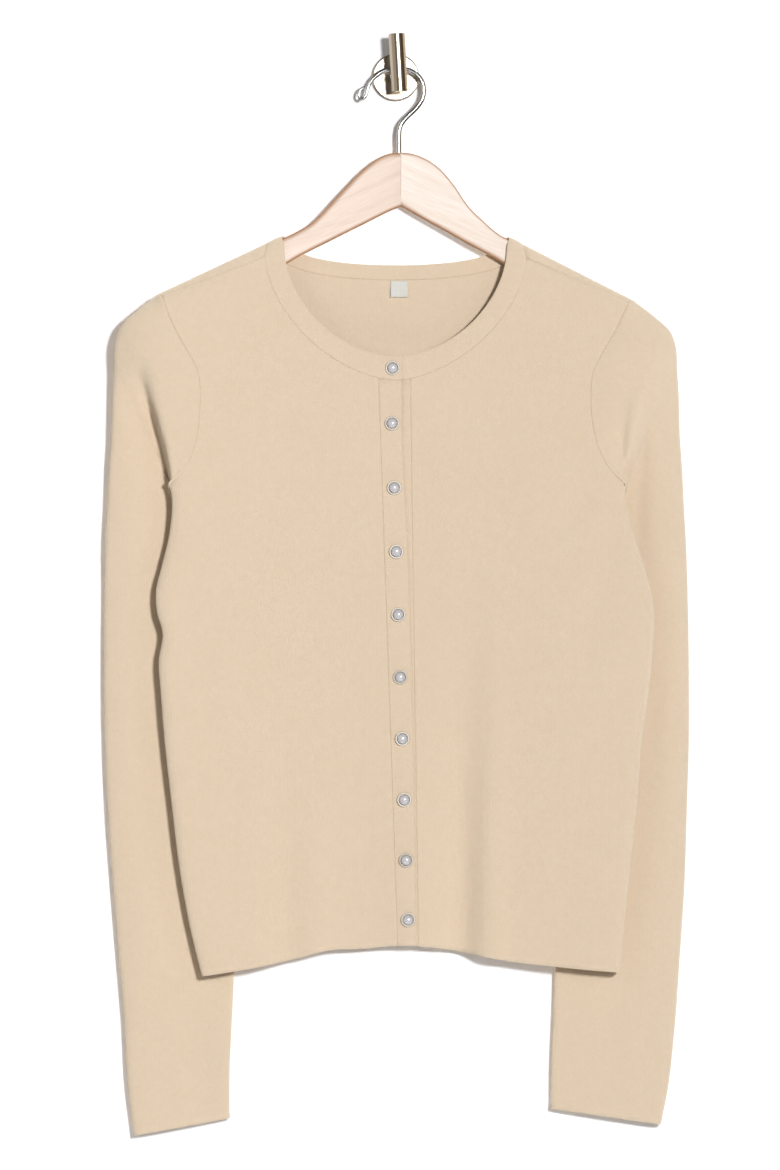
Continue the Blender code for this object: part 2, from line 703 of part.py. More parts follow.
def sleeve_ring(outer, inner, front, back, angles):
    """A flattened ring through four points: outer, front, inner and back."""
    centre = (outer + inner) / 2
    ring = []
    for angle in angles:
        bulge = abs(math.sin(angle)) ** RING_POWER * (1 + SLEEVE_LEAN * math.cos(angle))
        face = front if angle <= math.pi else back
        ring.append(centre + (outer - centre) * math.cos(angle) + (face - centre) * bulge)
    return ring


def sleeve_grid(side, front, back):
    loop, underarm = armhole_loop(side, front, back)
    angles = ring_angles(loop, underarm)
    underarm_out = float(side_edge(UNDERARM_Z, side))
    rings = []
    for row in CAP_RINGS:
        drop = SHOULDER_DROP[side] * float(smoothstep(*DROP_FADE, row.out_z))
        outer = np.array([side * row.out_x, row.out_y, row.out_z - drop])
        in_z = UNDERARM_Z - row.in_down
        inner = np.array([side * (underarm_out + row.in_out), row.in_y, in_z])
        middle = (outer + inner) / 2 - np.array([side * row.bow, 0.0, 0.0])
        faces = [np.array([middle[0], y, middle[2]]) for y in (row.front_y, row.back_y)]
        ring = np.array(sleeve_ring(outer, inner, *faces, angles))
        rings.append(loop * (1 - row.blend) + ring * row.blend)
    for row in ARM_RINGS[side]:
        outer = np.array([side * row.out_x, SLEEVE_MIDDLE, row.out_z])
        inner = np.array([side * row.in_x, SLEEVE_MIDDLE, row.in_z])
        middle = (outer + inner) / 2
        faces = [np.array([middle[0], y, middle[2]]) for y in (SLEEVE_FRONT, SLEEVE_BACK)]
        rings.append(sleeve_ring(outer, inner, *faces, angles))
    outward = armhole_outward(side, front, back)
    seam = [loop + outward * ROUND_GAP, loop + outward * (ROUND_GAP + SEAM_LIFT)]
    return np.array(seam + [np.array(ring) for ring in rings])


def make_sleeves(fronts, back, knit):
    for side in (RIGHT, LEFT):
        grid = sleeve_grid(side, fronts[side], back)
        grid_object(f"sleeve_{SIDE_NAME[side]}", grid, knit, closed=True)


def neckband_rows(outs, front_z, front_power, back_z, inward):
    """Points along one edge of the neckband, from its right end to its left end."""
    line = []
    for side in (RIGHT, LEFT):
        pair = TOP_BAND_SEAM_X if side == RIGHT else UNDER_BAND_SEAM_X
        corner_x = line_x(pair, BAND_TOP_Z)
        corner_turn = turn_at(corner_x, side, SEAM_STRIP_OUT, SEAM_NECK_POWER)
        end_turn = turn_at(NECKBAND_LAP_X[side], side, SEAM_STRIP_OUT, SEAM_NECK_POWER)
        turns = [end_turn, (end_turn + corner_turn) / 2]
        turns += [corner_turn * (1 - step / NECK_COLUMNS) for step in range(NECK_COLUMNS)]
        half = []
        for turn in turns:
            x, z = neck_line(turn, side, outs, front_z + inward, front_power)
            depth = layer_depth(x, z, FRONT) + lap_depth(x, z, side)
            half.append(np.array([x - side * inward * math.cos(math.radians(turn)), depth, z]))
        for row in range(STRIP_ROWS + 1):
            angle = lerp((-90.0, 90.0), row / STRIP_ROWS)
            half.append(over_shoulder(side * (strip_out(outs, angle) - inward), angle))
        for step in range(1, BACK_NECK_COLUMNS + (side == RIGHT)):
            turn = 90.0 * step / BACK_NECK_COLUMNS
            x, z = back_neck_line(turn, side, outs, back_z + inward)
            half.append(np.array([x, layer_depth(x, z, BACK), z]))
        line += half if side == RIGHT else half[::-1]
    return np.array(line)


def make_neckband(knit):
    seam = neckband_rows(
        SEAM_STRIP_OUT, SEAM_NECK_Z, SEAM_NECK_POWER, BACK_SEAM_NECK_Z, SEAM_GAP
    )
    edge = neckband_rows(EDGE_STRIP_OUT, EDGE_NECK_Z, EDGE_NECK_POWER, BACK_EDGE_NECK_Z, 0.0)
    grid = np.array([seam, (seam + edge) / 2, edge])
    grid_object("neckband", grid, knit)


def band_grid(side):
    """The buttonhole band on the right front, or the button band under it on the left."""
    rows = row_shares()
    grid = []
    for share in rows:
        low_z = float(hem_z(lerp((TOP_BAND_SEAM_X[1], UNDER_BAND_SEAM_X[1]), 0.5)))
        high_z = SEAM_NECK_Z - SEAM_GAP
        z = lerp((low_z, high_z), share)
        if side == RIGHT:
            near = line_x(TOP_BAND_SEAM_X, z) + SEAM_GAP
            edge_keys = [row.z for row in TOP_BAND_EDGE]
            far = float(smooth_through(edge_keys, [row.x for row in TOP_BAND_EDGE], z))
        else:
            near = line_x(UNDER_BAND_SEAM_X, z) - SEAM_GAP
            far = line_x(TOP_BAND_SEAM_X, z) + UNDER_BAND_HIDDEN
        line = []
        for step in BAND_STEPS:
            x = lerp((near, far), step)
            top_z = neck_seam_z(x, side) - SEAM_GAP
            hang_z = lerp((low_z, top_z), share)
            line.append((x, layer_depth(x, hang_z, FRONT) + side * PLY / 2, hang_z))
        grid.append(line)
    return np.array(grid)


def neck_seam_z(x, side):
    """Height of the neck seam near the centre front."""
    turn = turn_at(x, side, SEAM_STRIP_OUT, SEAM_NECK_POWER)
    return neck_line(turn, side, SEAM_STRIP_OUT, SEAM_NECK_Z, SEAM_NECK_POWER)[1]


def make_bands(knit):
    grid_object("buttonhole_band", band_grid(RIGHT), knit)
    grid_object("button_band", band_grid(LEFT), knit)


def make_label(tape):
    depth_inside = WALL / 2 + SEAM_GAP + LABEL_WALL / 2
    grid = []
    for z in np.linspace(*LABEL_Z, 4):
        xs = np.linspace(*LABEL_X, 3)
        grid.append([(x, layer_depth(x, z, BACK) - depth_inside, z) for x in xs])
    grid_object("neck_label", np.array(grid), tape, wall=LABEL_WALL)


def turned_object(name, profile, radius, steps, finish):
    """A profile, from its top to its foot, turned about Z."""
    mesh = bpy.data.meshes.new(name)
    points = [(radius * row.radius, 0.0, row.height) for row in profile]
    edges = [(index, index + 1) for index in range(len(points) - 1)]
    mesh.from_pydata(points, edges, [])
    mesh.materials.append(finish)
    turned = bpy.data.objects.new(name, mesh)
    PARTS.objects.link(turned)
    screw = turned.modifiers.new("turn", "SCREW")
    screw.steps = steps
    screw.render_steps = steps
    screw.use_merge_vertices = True
    screw.merge_threshold = 0.00001
    screw.use_smooth_shade = True
    return turned


def button_places():
    places = [NECK_BUTTON]
    for number in range(BUTTON_COUNT):
        down = BUTTON_PITCH * number - BUTTON_CLOSING * number**2
        places.append((FIRST_BUTTON[0] + BUTTON_DRIFT * down, FIRST_BUTTON[1] - down))
    return places


def make_buttons(pearl):
    for number, (x, z) in enumerate(button_places(), 1):
        button = turned_object(
            f"button_{number:02d}", BUTTON_PROFILE, BUTTON_RADIUS, BUTTON_SIDES, pearl
        )
        cloth = layer_depth(x, z, FRONT) - PLY / 2 - WALL / 2
        button.location = (x, cloth - SEAM_GAP, z)
        button.rotation_euler = (math.radians(90.0), 0.0, 0.0)


# ---------------------------------------------------------------- hanger and hooks


def hanger_stations(side):
    """Rows (x, top, bottom) along one arm: the neck by its table, the rest by the shoulder."""
    rows = [tuple(row) for row in HANGER_NECK[side]]
    for out in ARM_OUTS:
        top = ridge_z(side * out) - CLOTH_REST
        rows.append((side * out, top, top - ARM_HEIGHT))
    for back_from_end, shrink in ARM_TIP:
        out = HANGER_END_OUT - back_from_end
        top = ridge_z(side * out) - CLOTH_REST
        rows.append((side * out, top - shrink, top - ARM_HEIGHT + shrink))
    return rows


def wood_section(x, top, bottom):
    """A rounded oblong across the arm."""
    height = top - bottom
    half = WOOD_HALF - max(0.0, abs(x) - (HANGER_END_OUT - TIP_LENGTH)) * TIP_THINNING
    radius = min(WOOD_ROUND, half * 0.8, height * 0.4)
    middle = middle_depth(x, 0.0)
    ring = []
    for corner_y, corner_z, start in (
        (half - radius, top - radius, 0),
        (-half + radius, top - radius, 90),
        (-half + radius, bottom + radius, 180),
        (half - radius, bottom + radius, 270),
    ):
        for step in range(3):
            turn = math.radians(start + 45 * step)
            y = middle + corner_y + radius * math.cos(turn)
            ring.append((x, y, corner_z + radius * math.sin(turn)))
    return ring


def make_hanger(wood):
    for side in (RIGHT, LEFT):
        rings = [wood_section(*row) for row in hanger_stations(side)]
        size = len(rings[0])
        points = [point for ring in rings for point in ring]
        faces = grid_faces(len(rings), size, closed=True)
        faces.append(tuple(range(size))[::-1])
        faces.append(tuple(range(len(points) - size, len(points))))
        mesh = bpy.data.meshes.new(f"hanger_arm_{SIDE_NAME[side]}")
        mesh.from_pydata(points, [], faces)
        mesh.materials.append(wood)
        outward = bmesh.new()
        outward.from_mesh(mesh)
        bmesh.ops.recalc_face_normals(outward, faces=outward.faces)
        outward.to_mesh(mesh)
        outward.free()
        mesh.shade_smooth()
        PARTS.objects.link(bpy.data.objects.new(mesh.name, mesh))


def hook_route():
    """Places along the hanger's wire: shank, bend, loop over the post, and beaded end."""
    foot = HANGER_NECK[RIGHT][0].top + SEAM_GAP
    cx, cz = HOOK_CENTRE
    route = [(SHANK_X, foot + rise) for rise in SHANK_RISES]
    for step in range(HOOK_STEPS + 1):
        turn = math.radians(lerp((HOOK_START, HOOK_END), step / HOOK_STEPS))
        route.append((cx + HOOK_RADIUS * math.cos(turn), cz + HOOK_RADIUS * math.sin(turn)))
    route.append((cx - HOOK_RADIUS + HOOK_TAIL[0], cz + HOOK_TAIL[1]))
    return route


def make_hanger_hook(chrome):
    curve = bpy.data.curves.new("hanger_hook", "CURVE")
    curve.dimensions = "3D"
    route = hook_route()
    spline = curve.splines.new("POLY")
    spline.points.add(len(route) - 1)
    for index, (x, z) in enumerate(route):
        spline.points[index].co = (x, WIRE_Y, z, 1.0)
    spline.points[len(route) - 2].radius = HOOK_BEAD
    curve.bevel_depth = WIRE_RADIUS
    curve.bevel_resolution = 2
    curve.use_fill_caps = True
    curve.materials.append(chrome)
    PARTS.objects.link(bpy.data.objects.new("hanger_hook", curve))


def make_rose(nickel):
    rose = turned_object("wall_rose", ROSE_PROFILE, ROSE_RADIUS, ROSE_SIDES, nickel)
    rose.rotation_euler = (math.radians(90.0), 0.0, 0.0)


def primitive_cylinder(radius, length, centre, direction, sides):
    bpy.ops.mesh.primitive_cylinder_add(vertices=sides, radius=radius, depth=length)
    made = bpy.context.object
    made.rotation_euler = direction
    made.location = centre
    return made


def make_peg(nickel):
    """The post and the upright cylinder, one casting."""
    rise = PEG_TOP[1] - PEG_FOOT[1]
    run = PEG_TOP[0] - PEG_FOOT[0]
    centre = (lerp((PEG_FOOT[0], PEG_TOP[0]), 0.5), PEG_Y, lerp((PEG_FOOT[1], PEG_TOP[1]), 0.5))
    upright = primitive_cylinder(
        PEG_RADIUS, math.hypot(rise, run), centre, (0.0, math.atan2(run, rise), 0.0), PEG_SIDES
    )
    length = POST_START_Y - PEG_Y
    middle = (0.0, PEG_Y + length / 2, 0.0)
    post = primitive_cylinder(
        POST_RADIUS, length, middle, (math.radians(90.0), 0.0, 0.0), POST_SIDES
    )
    edge = upright.modifiers.new("edge", "BEVEL")
    edge.width = PEG_EDGE
    edge.segments = 1
    edge.limit_method = "ANGLE"
    edge.angle_limit = math.radians(60.0)
    join = upright.modifiers.new("join", "BOOLEAN")
    join.operation = "UNION"
    join.object = post
    post.hide_render = True
    post.display_type = "WIRE"
    move_to(post, CUTTERS)
    move_to(upright, PARTS)
    post.name = "post_shape"
    upright.name = "wall_peg"
    upright.data.materials.append(nickel)


def move_to(thing, collection):
    for owner in list(thing.users_collection):
        owner.objects.unlink(thing)
    collection.objects.link(thing)


def new_collection(name):
    made = bpy.data.collections.new(name)
    bpy.context.scene.collection.children.link(made)
    return made


def build():
    knit = material("cream fulled knit", (0.78, 0.61, 0.45), 0.95)
    tape = material("woven label tape", (0.72, 0.68, 0.60), 0.8)
    pearl = material("pearl in a silver rim", (0.86, 0.85, 0.84), 0.2)
    wood = material("lacquered light wood", (0.86, 0.65, 0.46), 0.35)
    chrome = material("chromed wire", (0.75, 0.76, 0.78), 0.08, 1.0)
    nickel = material("brushed nickel", (0.58, 0.55, 0.50), 0.3, 1.0)
    fronts = make_fronts(knit)
    back = make_back(knit)
    make_sleeves(fronts, back, knit)
    make_neckband(knit)
    make_bands(knit)
    make_label(tape)
    make_buttons(pearl)
    make_hanger(wood)
    make_hanger_hook(chrome)
    make_rose(nickel)
    make_peg(nickel)


for old in list(bpy.data.objects):
    bpy.data.objects.remove(old)
PARTS = new_collection(OBJECT_NAME)
CUTTERS = new_collection("shapes_for_joining")
build()
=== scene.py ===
# %% [markdown]
# # A button cardigan on its hanger
#
# A fine knitted cardigan hangs buttoned on a wooden hanger, and the hanger hangs from a metal
# hook on a wall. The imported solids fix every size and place. This notebook dresses them: each
# cloth piece is made again as a smooth thin shell on the form of its solid, and the buttons,
# the wood and the metals get the shapes and finishes that a camera sees from close by.

# %% Load the solids
import math
from bisect import bisect_left
from collections import namedtuple

import bmesh
import bpy
import numpy as np
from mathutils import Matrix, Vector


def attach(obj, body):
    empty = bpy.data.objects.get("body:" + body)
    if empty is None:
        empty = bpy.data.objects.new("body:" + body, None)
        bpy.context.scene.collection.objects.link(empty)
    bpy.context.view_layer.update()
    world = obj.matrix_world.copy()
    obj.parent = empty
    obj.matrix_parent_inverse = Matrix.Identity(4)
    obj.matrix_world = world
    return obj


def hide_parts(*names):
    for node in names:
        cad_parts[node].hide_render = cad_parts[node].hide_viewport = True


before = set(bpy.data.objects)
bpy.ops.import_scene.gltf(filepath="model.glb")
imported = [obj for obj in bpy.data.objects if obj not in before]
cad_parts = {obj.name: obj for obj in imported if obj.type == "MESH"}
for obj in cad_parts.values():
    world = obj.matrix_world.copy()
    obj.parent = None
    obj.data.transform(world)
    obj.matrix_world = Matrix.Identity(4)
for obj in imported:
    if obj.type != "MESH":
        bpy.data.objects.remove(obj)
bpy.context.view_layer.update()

# %% [markdown]
# ## Colours and nodes
#
# Screen colours are given as hex codes, but a shader works in linear light, so one function
# turns one into the other. A second one adds any shader node with its settings and links,
# which keeps each material down to a few readable lines. A third starts a material, in one
# plain colour where that is all it has.

# %% Small helpers for materials
def linear(code):
    """A hex colour as linear red, green, blue and alpha."""
    shares = [int(code[start:start + 2], 16) / 255 for start in (1, 3, 5)]
    light = [s / 12.92 if s <= 0.04045 else ((s + 0.055) / 1.055) ** 2.4 for s in shares]
    return (*light, 1.0)


def add(tree, kind, inputs=(), **settings):
    """A new node. An input is a value, or a (node, output) pair that it is linked from."""
    made = tree.nodes.new("ShaderNode" + kind)
    for name, value in settings.items():
        setattr(made, name, value)
    for name, value in dict(inputs).items():
        if isinstance(value, tuple) and isinstance(value[0], bpy.types.Node):
            tree.links.new(value[0].outputs[value[1]], made.inputs[name])
        else:
            made.inputs[name].default_value = value
    return made


def start_material(name, code=None, **sockets):
    """A material with a Principled shader, the node tree it stands in, and the shader."""
    made = bpy.data.materials.new(name)
    made.use_nodes = True
    shader = made.node_tree.nodes["Principled BSDF"]
    if code:
        shader.inputs["Base Color"].default_value = linear(code)
    for socket, value in sockets.items():
        shader.inputs[socket.replace("_", " ")].default_value = value
    return made, made.node_tree, shader


print("cream in linear light:", [round(value, 3) for value in linear("#E5CEB2")[:3]])

# %% [markdown]
# ## The knit
#
# The cloth is plain knitting, 12 needles to the inch, washed until the wool felts a little
# (a maker says *fulled*). The stitches sink under a soft nap, so the eye gets a matte, slightly
# mottled cream with a pale bloom where the surface turns away. Stitches follow the cloth, so
# they are drawn on each piece's own UV map, in metres. The nap has no direction and is drawn
# on Object coordinates. Seams are found through an attribute on the mesh, the distance to the
# nearest seam: a shader can't know where a piece ends.
# Near a seam the colour is painted darker: a painted shade for the narrow groove there.

# %% Knit material
WALE = 0.0021  # metres from one column of stitches to the next
COURSE = 0.0015  # metres from one row of stitches to the next
LEG_SLANT = 1.3  # how steeply the two legs of a stitch run
LEG_LIFT, COLUMN_LIFT = 0.30, 1.4  # what the legs and the columns add to a stitch's height
NAP_SIZE = 0.0009  # metres across one tuft
MOTTLE_SIZE = 0.0045
CLOUD_SIZE = 0.040
MOTTLE_TONE, CLOUD_TONE, STITCH_TONE = 0.40, 0.12, 0.14  # what each adds to the nap's tone
DARK_TONE, PALE_TONE = 0.45, 1.30
DEEPEST = 0.8  # share of the deep colour at the dark tone; the pale tone has none
STITCH_HEIGHT, MOTTLE_HEIGHT = 0.35, 0.8  # what each adds to the nap's height
BUMP_DEPTH = 0.00045  # metres
# painted shade: SEAM_WIDTH and SEAM_SHADE paint the knit darker along each seam, for its groove
SEAM_WIDTH = 0.0008  # metres over which a seam darkens
SEAM_SHADE = 0.32


def knit_material(name, light_code, deep_code):
    made, tree, shader = start_material(
        name, Roughness=0.92, Specular_IOR_Level=0.25, Diffuse_Roughness=0.5,
        Sheen_Weight=0.25, Sheen_Roughness=0.45, Sheen_Tint=linear("#FFF4E6"))
    at = add(tree, "TexCoord")
    cloth = add(tree, "SeparateXYZ", {0: (at, "UV")})
    wales = add(tree, "Math", {0: (cloth, 0), 1: 1 / WALE}, operation="MULTIPLY")
    courses = add(tree, "Math", {0: (cloth, 1), 1: 1 / COURSE}, operation="MULTIPLY")
    leg = add(tree, "Math", {0: (wales, 0), 1: 0.5}, operation="PINGPONG")
    slant = add(tree, "Math", {0: (leg, 0), 1: LEG_SLANT, 2: (courses, 0)},
                operation="MULTIPLY_ADD")
    turn = add(tree, "Math", {0: (slant, 0), 1: 2 * math.pi}, operation="MULTIPLY")
    loop = add(tree, "Math", {0: (turn, 0)}, operation="SINE")
    column = add(tree, "Math", {0: (leg, 0), 1: COLUMN_LIFT}, operation="MULTIPLY")
    stitch = add(tree, "Math", {0: (loop, 0), 1: LEG_LIFT, 2: (column, 0)},
                 operation="MULTIPLY_ADD")
    nap = add(tree, "TexNoise", {"Vector": (at, "Object"), "Scale": 1 / NAP_SIZE,
                                 "Detail": 4.0, "Roughness": 0.65})
    mottle = add(tree, "TexNoise", {"Vector": (at, "Object"), "Scale": 1 / MOTTLE_SIZE,
                                    "Detail": 3.0, "Distortion": 0.6})
    cloud = add(tree, "TexNoise", {"Vector": (at, "Object"), "Scale": 1 / CLOUD_SIZE})
    seam = add(tree, "Attribute", attribute_name="seam")
    # painted shade: near a seam the base colour is pushed towards the deep colour
    near = add(tree, "MapRange", {0: (seam, "Fac"), 1: 0.0, 2: SEAM_WIDTH, 3: 1.0, 4: 0.0},
               interpolation_type="SMOOTHSTEP")
    tone = nap
    for part, tells in ((mottle, MOTTLE_TONE), (cloud, CLOUD_TONE), (stitch, STITCH_TONE)):
        tone = add(tree, "Math", {0: (part, 0), 1: tells, 2: (tone, 0)}, operation="MULTIPLY_ADD")
    share = add(tree, "MapRange", {0: (tone, 0), 1: DARK_TONE, 2: PALE_TONE, 3: DEEPEST, 4: 0.0})
    share = add(tree, "Math", {0: (near, 0), 1: SEAM_SHADE, 2: (share, 0)},
                operation="MULTIPLY_ADD")
    colour = add(tree, "Mix", {0: (share, 0), 6: linear(light_code), 7: linear(deep_code)},
                 data_type="RGBA", clamp_factor=False)
    tree.links.new(colour.outputs[2], shader.inputs["Base Color"])
    height = nap
    for part, lifts in ((stitch, STITCH_HEIGHT), (mottle, MOTTLE_HEIGHT)):
        height = add(tree, "Math", {0: (part, 0), 1: lifts, 2: (height, 0)},
                     operation="MULTIPLY_ADD")
    bump = add(tree, "Bump", {"Strength": 0.55, "Distance": BUMP_DEPTH, "Height": (height, 0)})
    tree.links.new(bump.outputs[0], shader.inputs["Normal"])
    return made


cream_knit = knit_material("fulled_wool_knit_cream", "#E0D0BC", "#D0BC9F")
print("knit:", round(0.0254 / WALE), "columns to the inch")

# %% [markdown]
# ## The form of the cloth
#
# A flat knitted panel hangs in space as three things at once: an outline on the pattern, a
# depth that follows the hanger's arms, and a round fold down each side and over each shoulder.
# Each is a small function of named sizes, the same ones that shape the solids, so the shell
# lies where its solid is. Short tables hold what can only be measured: the side edges, the
# hem, the armholes. A smooth curve is read through each table.

# %% Small functions for curves
RIGHT, LEFT = -1.0, 1.0  # the wearer's sides, on -X and +X
SIDES = {RIGHT: "right", LEFT: "left"}
FRONT, BACK = -1.0, 1.0


def smoothstep(low, high, value):
    share = min(max((value - low) / (high - low), 0.0), 1.0)
    return share * share * (3.0 - 2.0 * share)


def lerp(pair, share):
    return pair[0] + (pair[1] - pair[0]) * share


def curve_through(keys, values):
    """A smooth curve through the rows of a table, as a function of the key."""
    order = np.argsort(keys)
    keys = np.asarray(keys, float)[order]
    values = np.asarray(values, float)[order]
    slopes = np.gradient(values, keys).tolist()
    keys, values = keys.tolist(), values.tolist()

    def read(at):
        at = min(max(at, keys[0]), keys[-1])
        row = min(max(bisect_left(keys, at) - 1, 0), len(keys) - 2)
        span = keys[row + 1] - keys[row]
        t = (at - keys[row]) / span
        start = values[row] * (1 + 2 * t) * (1 - t) ** 2 + slopes[row] * span * t * (1 - t) ** 2
        end = values[row + 1] * t * t * (3 - 2 * t) + slopes[row + 1] * span * t * t * (t - 1)
        return start + end

    return read


def run_along(points):
    """Distance from the first point of a line to each of its points."""
    steps = np.linalg.norm(np.diff(points, axis=0), axis=1)
    return np.concatenate([[0.0], np.cumsum(steps)])


def along(points, shares):
    """Points at the given shares of a line's length, on a smooth curve through it."""
    points = np.asarray(points, float)
    run = run_along(points)
    curves = [curve_through(run / run[-1], column) for column in points.T]
    return np.array([[curve(share) for curve in curves] for share in shares])


print("half way through 0, 1, 4:", round(curve_through((0, 1, 2), (0, 1, 4))(1.5), 2))

# %% Sizes of the body
WALL = 0.0014  # thickness of the knit
SEAM_GAP = 0.00001  # between two shells along a seam, too little to see
ROUND_GAP = 0.00002  # the same where the seam runs round a fold
SHOULDER_GAP = 0.00002
SEAM_LIFT = 0.0018  # how far a sleeve leaves the armhole before it turns
PLY = 0.0021  # between the middles of two pieces that lap
LAP_FADE = 0.030
CENTRE_DEPTH = -0.0150
ARM_SWEEP = 0.0200  # how far the hanger's arms carry the cloth forward at their reach
ARM_REACH = 0.190
SWEEP_POWER = 1.6
HEM_SETTLE = 0.0040  # how far the hem's middle lies back towards the wall
SETTLE_FADE = (0.040, 0.140)
NECK_GAP = 0.0085  # half the room between front and back over the hanger
HEM_GAP = 0.0065  # the same at the centre of the hem
SIDE_RADIUS = 0.0095  # half the depth of the fold down each side
SIDE_CORNER = 0.50  # share of SIDE_RADIUS over which that fold turns; the rest is flat
SIDE_FADE = (0.060, 0.150)
CHEST_Z = -0.250
HEM_Z = -0.690
RIDGE_OUT = 0.090  # a place on the top line of the shoulders, and how steeply that falls
RIDGE_Z = {RIGHT: -0.1255, LEFT: -0.1265}
RIDGE_FALL = {RIGHT: 0.477, LEFT: 0.516}
UNDERARM_Z = -0.3205
UNDERARM_EASE = (0.260, 0.330)
print("from underarm to hem:", round(UNDERARM_Z - HEM_Z, 3), "m")

# %% Edges read from tables
SideRow = namedtuple("SideRow", "z right left")
SIDE_EDGE = [
    SideRow(-0.250, 0.2200, 0.2200), SideRow(-0.280, 0.2000, 0.2020),
    SideRow(-0.302, 0.1830, 0.1850), SideRow(-0.3205, 0.1750, 0.1785),
    SideRow(-0.355, 0.1752, 0.1845), SideRow(-0.380, 0.1808, 0.1922),
    SideRow(-0.402, 0.1858, 0.1985), SideRow(-0.418, 0.1848, 0.2005),
    SideRow(-0.433, 0.1806, 0.2003), SideRow(-0.455, 0.1835, 0.1988),
    SideRow(-0.480, 0.1820, 0.1962), SideRow(-0.515, 0.1793, 0.1912),
    SideRow(-0.565, 0.1738, 0.1872), SideRow(-0.620, 0.1671, 0.1813),
    SideRow(-0.660, 0.1600, 0.1775), SideRow(-0.705, 0.1490, 0.1725),
]
PlaceRow = namedtuple("PlaceRow", "x z")
HEM_LINE = [
    PlaceRow(-0.1500, -0.7008), PlaceRow(-0.1275, -0.6973), PlaceRow(-0.0979, -0.6922),
    PlaceRow(-0.0745, -0.6868), PlaceRow(-0.0560, -0.6818), PlaceRow(-0.0277, -0.6802),
    PlaceRow(0.0090, -0.6775), PlaceRow(0.0332, -0.6798), PlaceRow(0.0592, -0.6840),
    PlaceRow(0.0893, -0.6895), PlaceRow(0.1244, -0.6934), PlaceRow(0.1712, -0.6975),
]
FRONT_ARMHOLE = [
    PlaceRow(0.1735, -0.3165), PlaceRow(0.1665, -0.3090), PlaceRow(0.1595, -0.2975),
    PlaceRow(0.1550, -0.2830), PlaceRow(0.1525, -0.2640), PlaceRow(0.1520, -0.2470),
    PlaceRow(0.1535, -0.2310), PlaceRow(0.1590, -0.2190), PlaceRow(0.1660, -0.2070),
    PlaceRow(0.1740, -0.1920),
]
BACK_ARMHOLE = [
    PlaceRow(0.1745, -0.3145), PlaceRow(0.1695, -0.2970), PlaceRow(0.1672, -0.2650),
    PlaceRow(0.1680, -0.2350), PlaceRow(0.1740, -0.2080), PlaceRow(0.1820, -0.1880),
]


def x_at_z(rows):
    """The x of a line of places, as a smooth curve of z."""
    return curve_through([row.z for row in rows], [row.x for row in rows])


side_curves = {
    side: curve_through([row.z for row in SIDE_EDGE], [getattr(row, name) for row in SIDE_EDGE])
    for side, name in SIDES.items()
}
hem_z = curve_through([row.x for row in HEM_LINE], [row.z for row in HEM_LINE])
print("width at the hem:", round(side_curves[RIGHT](HEM_Z) + side_curves[LEFT](HEM_Z), 3), "m")

# %% Folds in the body
# A fold is a soft ridge (forward, plus) or trough (minus). It starts at one height and is
# deepest at the hem. It leans sideways as it falls.
Fold = namedtuple("Fold", "x width depth start_z lean")
FRONT_FOLDS = [
    Fold(-0.1350, 0.014, 0.0012, -0.560, 0.00),
    Fold(-0.1060, 0.015, 0.0022, -0.480, 0.02),
    Fold(-0.0860, 0.013, -0.0048, -0.460, 0.01),
    Fold(-0.0640, 0.014, 0.0050, -0.460, 0.02),
    Fold(0.0130, 0.020, 0.0058, -0.400, 0.00),
    Fold(0.0490, 0.0145, -0.0078, -0.350, -0.01),
    Fold(0.0720, 0.0120, 0.0104, -0.340, -0.02),
    Fold(0.1050, 0.032, 0.0022, -0.400, -0.03),
    Fold(0.1250, 0.020, -0.0014, -0.520, 0.00),
    Fold(0.1480, 0.012, 0.0012, -0.600, 0.02),
]
BACK_FOLDS = [
    Fold(-0.1150, 0.018, 0.0022, -0.470, 0.02),
    Fold(-0.0450, 0.020, -0.0030, -0.430, 0.01),
    Fold(0.0150, 0.016, 0.0018, -0.520, -0.02),
    Fold(0.0620, 0.019, -0.0032, -0.400, 0.02),
    Fold(0.1220, 0.016, 0.0024, -0.500, -0.03),
]


def fold_depth(x, z, folds):
    total = 0.0
    for fold in folds:
        fade = smoothstep(-fold.start_z, -HEM_Z, -z)
        if fade > 0.0:
            middle = fold.x + fold.lean * (HEM_Z - z)
            total += fold.depth * fade * math.exp(-(((x - middle) / fold.width) ** 2))
    return total


print("folds:", len(FRONT_FOLDS), "in front,", len(BACK_FOLDS), "behind")

# %% Drag lines in the body
# A drag line is a shallow crease between two places, where the cloth is pulled.
Drag = namedtuple("Drag", "x z to_x to_z width depth")
DRAG_CORE, DRAG_FADE = 0.25, 0.35  # shares of its length: full depth this far, then fading
DRAG_REACH = 0.6  # share past its ends where it has died out
BODY_DRAGS = [
    Drag(0.150, -0.318, 0.118, -0.372, 0.010, -0.0011),
    Drag(0.172, -0.345, 0.150, -0.440, 0.009, -0.0012),
    Drag(0.187, -0.420, 0.140, -0.520, 0.012, 0.0012),
    Drag(-0.150, -0.315, -0.112, -0.365, 0.011, -0.0010),
    Drag(-0.168, -0.410, -0.120, -0.455, 0.010, 0.0010),
    Drag(-0.160, -0.440, -0.130, -0.560, 0.012, -0.0010),
    Drag(0.020, -0.262, 0.070, -0.215, 0.009, 0.0005),
    Drag(-0.022, -0.262, -0.068, -0.212, 0.008, -0.0005),
]


def drag_depth(x, z, drags):
    total = 0.0
    for drag in drags:
        run_x, run_z = drag.to_x - drag.x, drag.to_z - drag.z
        length = math.hypot(run_x, run_z)
        share = ((x - drag.x) * run_x + (z - drag.z) * run_z) / length**2
        off = abs((x - drag.x) * run_z - (z - drag.z) * run_x) / length
        if -DRAG_REACH < share < 1 + DRAG_REACH and off < 3 * drag.width:
            past = max(abs(share - 0.5) - DRAG_CORE, 0.0)
            end = math.exp(-((past / DRAG_FADE) ** 2))
            total += drag.depth * end * math.exp(-((off / drag.width) ** 2))
    return total


print("drag lines:", len(BODY_DRAGS))

# %% Depth of the body and the folds round it
def side_of(x):
    return RIGHT if x < 0 else LEFT


